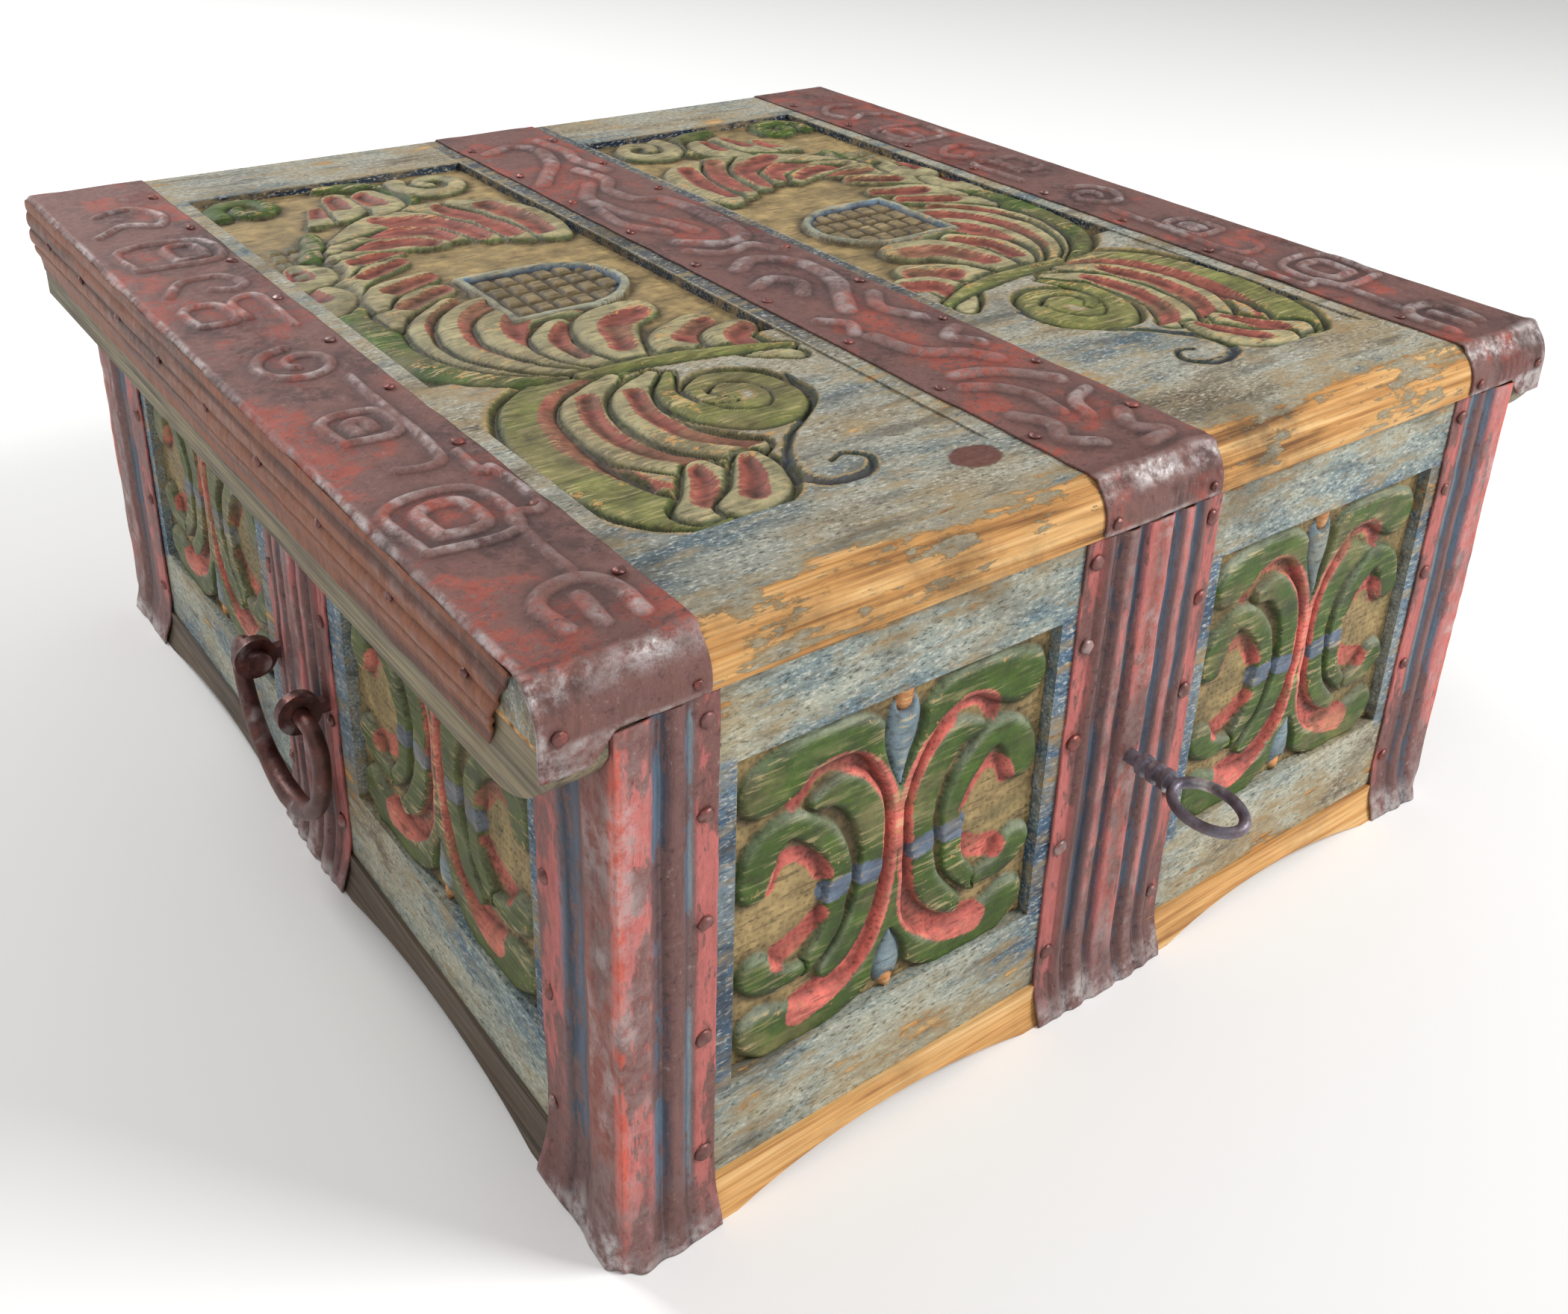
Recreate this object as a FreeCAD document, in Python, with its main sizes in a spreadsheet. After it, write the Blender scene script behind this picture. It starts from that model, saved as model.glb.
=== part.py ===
import FreeCAD, Part
import Sketcher
import math
import os
from FreeCAD import Rotation, Vector

# Iron-bound travel chest: front towards -Y, left side towards -X, standing on Z = 0.
# Driving sizes in millimetres, one row of the sheet each.
SIZES = [
    ("body_width", 488.0, "across the outer faces of the side walls"),
    ("body_depth", 565.5, "outer face of the front wall to outer face of the back wall"),
    ("wall_thickness", 20.0, "boards of the carcass"),
    ("wall_foot", 9.0, "lower edge of the walls above the floor"),
    ("wall_height", 231.5, "height of the wall boards"),
    ("bottom_thickness", 16.0, "bottom board"),
    ("lid_gap", 0.5, "daylight between walls and closed lid"),
    ("lid_thickness", 22.0, "lid board"),
    ("lid_proud", 3.0, "lower front edge of the lid in front of the wall"),
    ("ovolo_depth", 12.0, "how far the rounded front edge runs back"),
    ("ovolo_height", 16.0, "height of the rounded front edge"),
    ("ovolo_radius", 18.0, "radius of the rounded front edge"),
    ("lid_overhang", 28.0, "lid end outside the side wall"),
    ("batten_drop", 33.0, "batten below the lid board"),
    ("batten_sheet_drop", 19.0, "sheet iron below the lid board on the batten"),
    ("batten_slope", 2.5, "how far the moulded batten draws in"),
    ("batten_radius", 26.0, "hollow of the moulded batten"),
    ("batten_clearance", 0.8, "batten clear of the ribbed side irons"),
    ("batten_nose", 38.0, "length of the rounded front end of a batten"),
    ("batten_nose_rise", 24.0, "height of the rounded front end of a batten"),
    ("batten_nose_radius", 45.0, "radius of the rounded front end of a batten"),
    ("sheet_snip", 38.0, "slanted front end of the sheet iron on a batten"),
    ("tip_drop", 9.0, "front flap below the lid board over the end of a batten"),
    ("field_bottom", 63.0, "lower edge of the carved fields above the floor"),
    ("field_height", 143.5, "height of the carved fields"),
    ("field_depth", 7.0, "carved fields below the face of the wall"),
    ("field_margin", 8.0, "plain strip beside an iron"),
    ("side_strip", 15.0, "plain strip beside a side strap"),
    ("lid_field_depth", 5.0, "carved lid fields below the lid's top"),
    ("lid_field_front", 56.0, "plain lid strip in front of the carved fields"),
    ("lid_field_back", 50.5, "plain lid strip behind the carved fields"),
    ("lid_field_margin", 9.0, "plain lid strip beside a band"),
    ("leaf_rise", 3.2, "carved leaves above the floor of a lid field"),
    ("sheet", 1.2, "sheet iron"),
    ("rib_height", 3.3, "ribs of the irons"),
    ("corner_front_leg", 41.5, "front leg of a corner iron from its arris"),
    ("corner_side_leg", 60.0, "side leg of a corner iron from its arris"),
    ("front_strap_width", 78.0, "lock strap and back strap"),
    ("side_strap_width", 72.0, "straps behind the handles"),
    ("iron_top_gap", 0.8, "irons below the closed lid"),
    ("apron_height", 20.0, "arched base strip"),
    ("apron_top", 2.0, "thickness of the base strip at its top"),
    ("apron_flare", 6.0, "thickness of the base strip at the floor"),
    ("apron_hollow", 40.0, "hollow of the base strip's face"),
    ("apron_clearance", 0.5, "flared irons clear of the base strip"),
    ("front_arch_rise", 7.5, "arches under the front and back"),
    ("side_arch_rise", 6.0, "arches under the sides"),
    ("arch_inset", 8.0, "foot of an arch from the iron beside it"),
    ("end_band_width", 60.0, "left and right lid bands on the lid's top"),
    ("middle_band_width", 67.0, "middle lid band"),
    ("flap_lift", 0.8, "front flaps above the lid's lower edge"),
    ("back_flap_drop", 20.0, "band flaps over the back edge"),
    ("nail_head", 6.4, "across a forged nail head"),
    ("nail_head_height", 1.9, "forged nail head"),
    ("nail_point", 2.4, "flat on top of a forged nail head"),
    ("nail_shank", 2.2, "square nail shank"),
    ("nail_length", 14.0, "nail shank below its head"),
    ("nail_edge", 5.5, "nail from the edge of its iron"),
    ("hinge_place", 124.0, "hinge from the middle of the back"),
    ("hinge_width", 46.0, "hinge leaf"),
    ("hinge_leaf_height", 20.0, "hinge leaf above and below the pin"),
    ("hinge_leaf", 2.0, "hinge leaf thickness"),
    ("knuckle_radius", 5.0, "hinge knuckle"),
    ("pin_radius", 2.5, "hinge pin"),
    ("pin_fit", 0.05, "running fit round a pin"),
    ("knuckle_gap", 0.4, "play between knuckles"),
    ("pin_overhang", 1.5, "pin past its last knuckle"),
    ("handle_height", 102.0, "eyes of the handle staples above the floor"),
    ("staple_spacing", 55.0, "middle to middle of the two eyes"),
    ("eye_bar", 3.0, "half the thickness of the band that the eye is bent from"),
    ("eye_band", 5.4, "width of that band"),
    ("eye_hole", 4.3, "radius of the hole in the eye"),
    ("eye_clearance", 0.4, "eye clear of the ribs behind it"),
    ("bail_tip", 4.0, "radius of the bail where it passes the eye"),
    ("bail_grip", 5.6, "radius of the bail at its lowest point"),
    ("bail_upset", 5.6, "radius of the upset end of the bail"),
    ("bail_upset_length", 5.0, "length of the upset end"),
    ("bail_bend", 12.0, "bend from the eye down into the bow of the bail"),
    ("bail_bow", 51.0, "radius of the bow of the bail"),
    ("keyhole_height", 128.0, "keyhole above the floor"),
    ("key_shank", 3.3, "radius of the key's shank"),
    ("key_fit", 0.1, "running fit of the key in its lock"),
    ("key_reach", 65.0, "key in front of the wall"),
    ("key_collar", 5.0, "radius of the collar rings"),
    ("key_collar_length", 3.0, "one collar ring"),
    ("key_collar_place", 14.0, "first collar ring in front of the wall"),
    ("bow_length", 38.0, "ring bow along the shank"),
    ("bow_width", 25.0, "ring bow across the shank"),
    ("bow_bar", 2.4, "radius of the ring bow's bar"),
    ("bit_reach", 16.0, "key bit from the middle of the shank"),
    ("bit_thickness", 3.0, "key bit"),
    ("bit_length", 8.0, "key bit along the shank"),
    ("keyhole_slot", 4.4, "width of the slot under the keyhole"),
    ("lock_width", 112.0, "lock plate"),
    ("lock_foot", 32.0, "lock plate below the keyhole"),
    ("lock_top_gap", 3.0, "lock plate below the lid"),
    ("lock_plate", 2.0, "thickness of the lock plate"),
    ("lock_flange", 8.0, "lock plate round its cover"),
    ("lock_cover_depth", 18.0, "lock cover behind its plate"),
    ("lock_cover_wall", 1.5, "sheet of the lock cover"),
    ("bolt_thickness", 4.0, "bolt plate"),
    ("bolt_stand", 6.0, "bolt plate behind the lock plate"),
    ("bolt_play", 0.3, "bolt clear of its guides"),
    ("bolt_bar", 14.0, "width of the upright of the bolt"),
    ("bolt_arm", 8.0, "height of the bolt's shooting arm"),
    ("bolt_guide", 8.0, "height of a bolt guide"),
    ("talon", 5.0, "width of a bolt talon"),
    ("talon_gap", 8.4, "notch that the key bit turns in"),
    ("talon_height", 16.0, "height of the talons"),
    ("talon_lap", 1.7, "talons below the middle of the bit's tip"),
    ("notch_height", 9.6, "height of the notch between the talons"),
    ("staple_bar", 2.5, "bar of the lid staple"),
    ("staple_width", 6.0, "lid staple along the bolt"),
    ("staple_drop", 25.0, "lid staple below the lid"),
    ("staple_room", 2.0, "lid staple clear of the lock plate"),
    ("staple_plate", 2.0, "plate that holds the lid staple"),
    ("staple_plate_width", 24.0, "plate that holds the lid staple, along the bolt"),
    ("overrun", 5.0, "how far a cutting solid runs past the piece that it cuts"),
]

# Ribs of an iron as shares: place from the arris or middle to the edge, height of the rib.
CORNER_RIB_SHARES = [(0.0, 1.0), (0.24, 1.0), (0.31, 0.0), (0.36, 0.0), (0.42, 0.8), (0.50, 0.8),
                     (0.55, 0.0), (0.59, 0.0), (0.65, 0.7), (0.71, 0.7), (0.77, 0.0), (1.0, 0.0)]
STRAP_RIB_SHARES = [(0.14, 1.0), (0.21, 0.0), (0.27, 0.0), (0.34, 0.9), (0.47, 0.9),
                    (0.54, 0.0), (0.59, 0.0), (0.65, 0.7), (0.71, 0.7), (0.77, 0.0), (1.0, 0.0)]
# Flare of an iron as shares: height over the base strip, step out over its flare.
FLARE_SHARES = [(0.0, 1.0), (0.16, 0.78), (0.42, 0.52), (0.74, 0.36), (1.02, 0.32), (1.2, 0.0)]
# Nails up an iron as shares of its height, and along a lid band as shares of its length.
NAIL_SHARES = [0.154, 0.39, 0.61, 0.80, 0.957]
BAND_NAIL_SHARES = [0.06, 0.16, 0.27, 0.38, 0.49, 0.60, 0.71, 0.82, 0.93]
# Carved leaves of a lid field as shares: place from its outer edge, place from its front, width.
LEAF_SHARES = [
    [(0.511, 0.301, 0.037), (0.312, 0.303, 0.087), (0.150, 0.270, 0.112), (0.075, 0.212, 0.118),
     (0.069, 0.133, 0.118), (0.087, 0.066, 0.106), (0.174, 0.027, 0.093), (0.287, 0.020, 0.069)],
    [(0.436, 0.290, 0.025), (0.293, 0.257, 0.056), (0.237, 0.204, 0.062), (0.237, 0.150, 0.062),
     (0.299, 0.111, 0.056), (0.349, 0.102, 0.037)],
    [(0.536, 0.279, 0.025), (0.411, 0.243, 0.056), (0.374, 0.195, 0.062), (0.386, 0.146, 0.062),
     (0.461, 0.111, 0.056), (0.511, 0.106, 0.037)],
    [(0.199, 0.031, 0.050), (0.274, 0.044, 0.069), (0.324, 0.071, 0.062), (0.336, 0.093, 0.037)],
    [(0.299, 0.022, 0.050), (0.386, 0.035, 0.069), (0.436, 0.062, 0.062), (0.461, 0.088, 0.037)],
    [(0.573, 0.270, 0.031), (0.498, 0.230, 0.056), (0.511, 0.177, 0.075), (0.598, 0.146, 0.081),
     (0.710, 0.150, 0.075), (0.773, 0.186, 0.069), (0.748, 0.226, 0.062), (0.660, 0.239, 0.056),
     (0.586, 0.221, 0.050), (0.586, 0.199, 0.037)],
    [(0.798, 0.204, 0.031), (0.779, 0.164, 0.037), (0.698, 0.128, 0.044), (0.573, 0.102, 0.050),
     (0.498, 0.066, 0.050), (0.486, 0.031, 0.056), (0.536, 0.013, 0.050), (0.636, 0.013, 0.044),
     (0.685, 0.031, 0.037)],
    [(0.399, 0.314, 0.031), (0.212, 0.341, 0.075), (0.087, 0.394, 0.087), (0.050, 0.465, 0.075),
     (0.044, 0.544, 0.062), (0.056, 0.642, 0.062), (0.112, 0.730, 0.062), (0.199, 0.814, 0.037)],
    [(0.374, 0.314, 0.025), (0.224, 0.372, 0.050), (0.162, 0.442, 0.056), (0.199, 0.500, 0.056),
     (0.324, 0.544, 0.037)],
    [(0.411, 0.312, 0.025), (0.287, 0.367, 0.056), (0.237, 0.434, 0.069), (0.312, 0.500, 0.069),
     (0.461, 0.531, 0.056)],
    [(0.498, 0.308, 0.025), (0.386, 0.363, 0.062), (0.349, 0.429, 0.075), (0.424, 0.478, 0.075),
     (0.598, 0.473, 0.056)],
    [(0.523, 0.308, 0.025), (0.436, 0.354, 0.050), (0.436, 0.403, 0.056), (0.511, 0.434, 0.050)],
    [(0.561, 0.305, 0.031), (0.573, 0.363, 0.081), (0.636, 0.416, 0.093), (0.748, 0.434, 0.075)],
    [(0.660, 0.305, 0.031), (0.735, 0.345, 0.075), (0.847, 0.372, 0.062)],
    [(0.947, 0.248, 0.031), (0.872, 0.283, 0.056), (0.860, 0.323, 0.069), (0.935, 0.341, 0.056)],
    [(0.125, 0.513, 0.025), (0.174, 0.558, 0.056), (0.349, 0.588, 0.050)],
    [(0.137, 0.562, 0.025), (0.199, 0.611, 0.056), (0.374, 0.633, 0.044)],
    [(0.137, 0.624, 0.025), (0.187, 0.664, 0.056), (0.349, 0.690, 0.044)],
    [(0.162, 0.677, 0.025), (0.212, 0.712, 0.056), (0.374, 0.726, 0.044)],
    [(0.417, 0.535, 0.424), (0.679, 0.535, 0.424), (0.798, 0.535, 0.324), (0.872, 0.535, 0.150)],
    [(0.187, 0.730, 0.025), (0.299, 0.757, 0.062), (0.474, 0.748, 0.069), (0.548, 0.730, 0.044)],
    [(0.212, 0.752, 0.025), (0.374, 0.796, 0.069), (0.573, 0.779, 0.075), (0.623, 0.743, 0.056)],
    [(0.249, 0.779, 0.025), (0.486, 0.832, 0.075), (0.673, 0.801, 0.081), (0.723, 0.730, 0.062)],
    [(0.598, 0.858, 0.031), (0.735, 0.836, 0.075), (0.816, 0.779, 0.081), (0.822, 0.712, 0.062)],
    [(0.760, 0.854, 0.031), (0.872, 0.819, 0.075), (0.922, 0.757, 0.081), (0.910, 0.699, 0.062)],
    [(0.050, 0.942, 0.062), (0.087, 0.978, 0.069), (0.187, 0.982, 0.069), (0.237, 0.956, 0.062),
     (0.199, 0.929, 0.056), (0.137, 0.938, 0.050)],
    [(0.436, 0.982, 0.037), (0.561, 0.973, 0.075), (0.660, 0.942, 0.075), (0.673, 0.907, 0.056),
     (0.611, 0.881, 0.037)],
    [(0.735, 0.973, 0.050), (0.835, 0.985, 0.056), (0.922, 0.965, 0.056), (0.922, 0.929, 0.056),
     (0.835, 0.916, 0.050), (0.785, 0.938, 0.044)],
    [(0.374, 0.858, 0.025), (0.449, 0.903, 0.069), (0.461, 0.942, 0.056)],
    [(0.498, 0.854, 0.025), (0.573, 0.898, 0.069), (0.561, 0.938, 0.056)],
]
# Angles in degrees: the key's bow out of level, and its bit left of upright while unlocked.
BOW_TILT = -12.0
BIT_TILT = -45.0


class Size:
    # A length that carries its number and the formula that binds it to the sheet.
    def __init__(self, value, text):
        self.value = value
        self.text = text

    def __float__(self):
        return self.value

    def __add__(self, other):
        return Size(self.value + float(other), f"({self.text} + {text_of(other)})")

    def __radd__(self, other):
        return self + other

    def __sub__(self, other):
        return Size(self.value - float(other), f"({self.text} - {text_of(other)})")

    def __rsub__(self, other):
        return -self + other

    def __neg__(self):
        return Size(-self.value, f"(-1 * {self.text})")

    def __mul__(self, other):
        return Size(self.value * float(other), f"({self.text} * {text_of(other)})")

    def __rmul__(self, other):
        return self * other

    def __truediv__(self, other):
        return Size(self.value / float(other), f"({self.text} / {text_of(other)})")


def text_of(value):
    return value.text if isinstance(value, Size) else str(value)


class Dimensions:
    pass


doc = FreeCAD.newDocument("travel_chest")
sheet = doc.addObject("Spreadsheet::Sheet", "Sizes")
dim = Dimensions()
for row, (alias, number, note) in enumerate(SIZES, start=1):
    sheet.set(f"A{row}", alias)
    sheet.set(f"B{row}", str(number))
    sheet.setAlias(f"B{row}", alias)
    sheet.set(f"C{row}", note)
    setattr(dim, alias, Size(number, "Sizes." + alias))
doc.recompute()

# Levels and planes that several pieces share. The whole part is centred over the floor.
rise = dim.sheet + dim.rib_height
foot_reach = rise + dim.apron_flare + dim.apron_clearance
front_y = (dim.key_reach - dim.body_depth - foot_reach) / 2
back_y = front_y + dim.body_depth
inner_y = front_y + dim.wall_thickness
middle_y = (front_y + back_y) / 2
side_x = dim.body_width / 2
wall_top = dim.wall_foot + dim.wall_height
lid_base = wall_top + dim.lid_gap
lid_top = lid_base + dim.lid_thickness
lid_end = side_x + dim.lid_overhang
lid_front = front_y - dim.lid_proud
lid_depth = back_y - lid_front
lid_field_length = lid_depth - dim.lid_field_front - dim.lid_field_back
batten_inner = side_x + rise + dim.batten_clearance
iron_top = wall_top + dim.lid_gap - dim.iron_top_gap

nodes = {}


def keep(name, piece):
    piece.Label = name
    nodes[name] = piece
    return piece


def seat(piece, x, y, z):
    for axis, value in zip("xyz", (x, y, z)):
        piece.setExpression(f"Placement.Base.{axis}", text_of(value))


def bind(piece, **values):
    for name, value in values.items():
        piece.setExpression(name, text_of(value))


def box(name, corner, extent):
    piece = doc.addObject("Part::Box", name)
    bind(piece, Length=extent[0], Width=extent[1], Height=extent[2])
    seat(piece, *corner)
    return piece


def cylinder(name, start, radius, length, along):
    # A round bar that starts at a point and runs along X, Y or Z.
    piece = doc.addObject("Part::Cylinder", name)
    piece.Placement.Rotation = Rotation(Vector(0, 0, 1), along)
    bind(piece, Radius=radius, Height=length)
    seat(piece, *start)
    return piece


def fuse(name, pieces):
    piece = doc.addObject("Part::MultiFuse", name)
    piece.Shapes = pieces
    return piece


def cut(name, base, tools):
    piece = doc.addObject("Part::Cut", name)
    piece.Base = base
    piece.Tool = tools[0] if len(tools) == 1 else fuse(name + "_tools", tools)
    return piece


def arc_middle(start, end, radius, side):
    chord = end - start
    sagitta = radius - math.sqrt(radius * radius - chord.Length * chord.Length / 4)
    left = Vector(-chord.y, chord.x, 0).normalize()
    return (start + end) * 0.5 + left * (side * sagitta)


def draw(sketch, corners):
    # Each corner is a place, with a radius and a side where a round stretch leads to it.
    points = [Vector(float(corner[0]), float(corner[1]), 0) for corner in corners]
    ends = []
    for index, corner in enumerate(corners):
        start = points[index - 1]
        end = points[index]
        if len(corner) == 2:
            sketch.addGeometry(Part.LineSegment(start, end))
        else:
            middle = arc_middle(start, end, float(corner[2]), corner[3])
            sketch.addGeometry(Part.Arc(start, middle, end))
        forward = (sketch.getPoint(index, 1) - start).Length < (sketch.getPoint(index, 2) - start).Length
        ends.append((1, 2) if forward else (2, 1))
    for index, corner in enumerate(corners):
        following = (index + 1) % len(corners)
        sketch.addConstraint(
            Sketcher.Constraint("Coincident", index, ends[index][1], following, ends[following][0])
        )
        if len(corner) > 2:
            number = sketch.addConstraint(Sketcher.Constraint("Radius", index, float(corner[2])))
            sketch.setExpression(f"Constraints[{number}]", text_of(corner[2]))
        for kind, value in (("DistanceX", corner[0]), ("DistanceY", corner[1])):
            number = sketch.addConstraint(
                Sketcher.Constraint(kind, -1, 1, index, ends[index][1], float(value))
            )
            if isinstance(value, Size):
                sketch.setExpression(f"Constraints[{number}]", value.text)


def padded(name, plane, corners, length):
    # A board or sheet of one section. XZ sections grow towards -Y, YZ sections towards +X.
    body = doc.addObject("PartDesign::Body", name)
    sketch = body.newObject("Sketcher::SketchObject", name + "_section")
    support = [feature for feature in body.Origin.OriginFeatures if feature.Role == plane][0]
    sketch.AttachmentSupport = (support, [""])
    sketch.MapMode = "FlatFace"
    draw(sketch, corners)
    pad = body.newObject("PartDesign::Pad", name + "_pad")
    pad.Profile = sketch
    bind(pad, Length=length)
    body.Tip = pad
    return body


def shaped(name, shape):
    piece = doc.addObject("Part::Feature", name)
    piece.Shape = shape
    return piece


# Places on the four faces of the carcass: along the face, out of it and up.
def on_face(face, along, out, up):
    along, out, up = float(along), float(out), float(up)
    if face == "front":
        return Vector(along, float(front_y) - out, up)
    if face == "back":
        return Vector(-along, float(back_y) + out, up)
    if face == "left":
        return Vector(-float(side_x) - out, float(middle_y) - along, up)
    return Vector(float(side_x) + out, float(middle_y) + along, up)


# Carcass boards.
def make_walls():
    wall = dim.wall_thickness
    reach = dim.field_depth + dim.overrun
    inner_edge = dim.front_strap_width / 2 + dim.field_margin
    outer_edge = side_x + rise - dim.corner_front_leg - dim.field_margin
    front = box("front_board", (-side_x, front_y, dim.wall_foot), (dim.body_width, wall, dim.wall_height))
    fields = []
    for name, left in (("left", -outer_edge), ("right", inner_edge)):
        place = (left, front_y - dim.overrun, dim.field_bottom)
        fields.append(box(f"front_field_{name}", place, (outer_edge - inner_edge, reach, dim.field_height)))
    through = wall + dim.overrun * 2
    fields.append(cylinder("front_keyway", (0, front_y - dim.overrun, dim.keyhole_height),
                           dim.key_shank + dim.key_fit, through, Vector(0, 1, 0)))
    slot_low = dim.keyhole_height - dim.bit_reach - dim.key_fit
    fields.append(box("front_keyslot", (-dim.keyhole_slot / 2, front_y - dim.overrun, slot_low),
                      (dim.keyhole_slot, through, dim.bit_reach)))
    keep("front_wall", cut("front_wall", front, fields))
    keep("back_wall", box("back_wall", (-side_x, back_y - wall, dim.wall_foot),
                          (dim.body_width, wall, dim.wall_height)))
    side_inner = dim.side_strap_width / 2 + dim.side_strip
    side_outer = dim.body_depth / 2 + rise - dim.corner_side_leg - dim.field_margin
    for name, outer, field_x in (("left", -side_x, -side_x - dim.overrun),
                                 ("right", side_x - wall, side_x - dim.field_depth)):
        board = box(f"{name}_board", (outer, inner_y, dim.wall_foot),
                    (wall, dim.body_depth - wall * 2, dim.wall_height))
        holes = []
        for end, start in (("near", middle_y - side_outer), ("far", middle_y + side_inner)):
            holes.append(box(f"{name}_field_{end}", (field_x, start, dim.field_bottom),
                             (reach, side_outer - side_inner, dim.field_height)))
        keep(f"{name}_wall", cut(f"{name}_wall", board, holes))
    keep("bottom_board", box("bottom_board", (-side_x + wall, inner_y, dim.wall_foot),
                             (dim.body_width - wall * 2, dim.body_depth - wall * 2, dim.bottom_thickness)))


# Arched base strips whose hollow face flares out to the floor.
def arch(name, middle, half_span, rise_height, start, length, along):
    radius = (half_span * half_span + rise_height * rise_height) / (rise_height * 2)
    if along == "y":
        return cylinder(name, (middle, start, rise_height - radius), radius, length, Vector(0, 1, 0))
    return cylinder(name, (start, middle, rise_height - radius), radius, length, Vector(1, 0, 0))


def make_base():
    flare = dim.apron_flare
    through = flare + dim.overrun * 2
    front_inner = dim.front_strap_width / 2 + dim.arch_inset
    front_outer = side_x + rise - dim.corner_front_leg - dim.arch_inset
    side_inner = dim.side_strap_width / 2 + dim.arch_inset
    side_outer = dim.body_depth / 2 + rise - dim.corner_side_leg - dim.arch_inset
    hollow_out = [(0, 0), (flare, 0), (dim.apron_top, dim.apron_height, dim.apron_hollow, 1),
                  (0, dim.apron_height)]
    hollow_in = [(0, 0, dim.apron_hollow, 1), (flare, 0), (flare, dim.apron_height),
                 (flare - dim.apron_top, dim.apron_height)]
    for name, section, start in (("front_apron", hollow_in, front_y - flare),
                                 ("back_apron", hollow_out, back_y)):
        strip = padded(f"{name}_strip", "YZ_Plane", section, dim.body_width)
        seat(strip, -side_x, start, 0)
        arches = []
        for side in (-1, 1):
            arches.append(arch(f"{name}_arch{side + 1}", (front_inner + front_outer) / 2 * side,
                               (front_outer - front_inner) / 2, dim.front_arch_rise,
                               start - dim.overrun, through, "y"))
        keep(name, cut(name, strip, arches))
    for name, section, start in (("left_skirt", hollow_in, -side_x - flare),
                                 ("right_skirt", hollow_out, side_x)):
        strip = padded(f"{name}_strip", "XZ_Plane", section, dim.body_depth)
        seat(strip, start, back_y, 0)
        arches = []
        for side in (-1, 1):
            arches.append(arch(f"{name}_arch{side + 1}", middle_y + (side_inner + side_outer) / 2 * side,
                               (side_outer - side_inner) / 2, dim.side_arch_rise,
                               start - dim.overrun, through, "x"))
        keep(name, cut(name, strip, arches))


# Ribbed sheet irons that flare out over the base strip.
def flare_levels():
    out = dim.apron_flare + dim.apron_clearance
    levels = [(dim.apron_height * up_share, out * out_share) for up_share, out_share in FLARE_SHARES]
    return [(float(up), float(step)) for up, step in levels] + [(float(iron_top), 0.0)]


def lofted(sections):
    wires = [Part.makePolygon(points + [points[0]]) for points in sections]
    solid = Part.makeLoft(wires, True, True)
    return solid if solid.Volume > 0 else solid.reversed()


def corner_iron(name, x_side, y_side):
    thick = float(dim.sheet)
    face_y = float(front_y) if y_side < 0 else float(back_y)
    legs = (float(dim.corner_front_leg), float(dim.corner_side_leg))
    sections = []
    for up, step in flare_levels():
        outer = []
        inner = []
        for leg, length in enumerate(legs):
            outer_leg = []
            inner_leg = []
            for place_share, height_share in CORNER_RIB_SHARES:
                along = length * place_share
                height = float(dim.rib_height) * height_share
                spread = step * (1 - place_share)
                faces = ((outer_leg, height + thick, along), (inner_leg, height, max(along, thick)))
                for line, lift, back in faces:
                    far_x = float(side_x) + float(rise) - back + spread
                    far_y = float(rise) - back + spread
                    if leg == 0:
                        line.append((far_x, lift + step))
                    else:
                        line.append((float(side_x) + lift + step, far_y))
            outer.append(outer_leg)
            inner.append(inner_leg)
        ring = outer[0][::-1] + outer[1][1:] + inner[1][:0:-1] + inner[0]
        sections.append([Vector(x_side * x, face_y + y_side * y, up) for x, y in ring])
    keep(name, shaped(name, lofted(sections)))


def strap_shape(face, width):
    thick = float(dim.sheet)
    half = float(width) / 2
    shares = [(-place, height) for place, height in reversed(STRAP_RIB_SHARES)] + STRAP_RIB_SHARES
    sections = []
    for up, step in flare_levels():
        outer = []
        inner = []
        for place_share, height_share in shares:
            height = float(dim.rib_height) * height_share
            outer.append(on_face(face, half * place_share, height + thick + step, up))
            inner.append(on_face(face, half * place_share, height + step, up))
        sections.append(outer + inner[::-1])
    return lofted(sections)


def make_irons():
    for y_name, y_side in (("front", -1), ("back", 1)):
        for x_name, x_side in (("left", -1), ("right", 1)):
            corner_iron(f"{y_name}_{x_name}_corner_iron", x_side, y_side)
    blank = shaped("lock_strap_blank", strap_shape("front", dim.front_strap_width))
    through = rise + dim.overrun * 2
    hole = cylinder("strap_keyway", (0, front_y - through, dim.keyhole_height), dim.key_shank + dim.key_fit,
                    through + dim.overrun, Vector(0, 1, 0))
    slot = box("strap_keyslot", (-dim.keyhole_slot / 2, front_y - through,
                                 dim.keyhole_height - dim.bit_reach - dim.key_fit),
               (dim.keyhole_slot, through + dim.overrun, dim.bit_reach))
    keep("front_lock_strap", cut("front_lock_strap", blank, [hole, slot]))
    for face, width in (("back", dim.front_strap_width), ("left", dim.side_strap_width),
                        ("right", dim.side_strap_width)):
        keep(f"{face}_mid_strap", shaped(f"{face}_mid_strap", strap_shape(face, width)))


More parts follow.
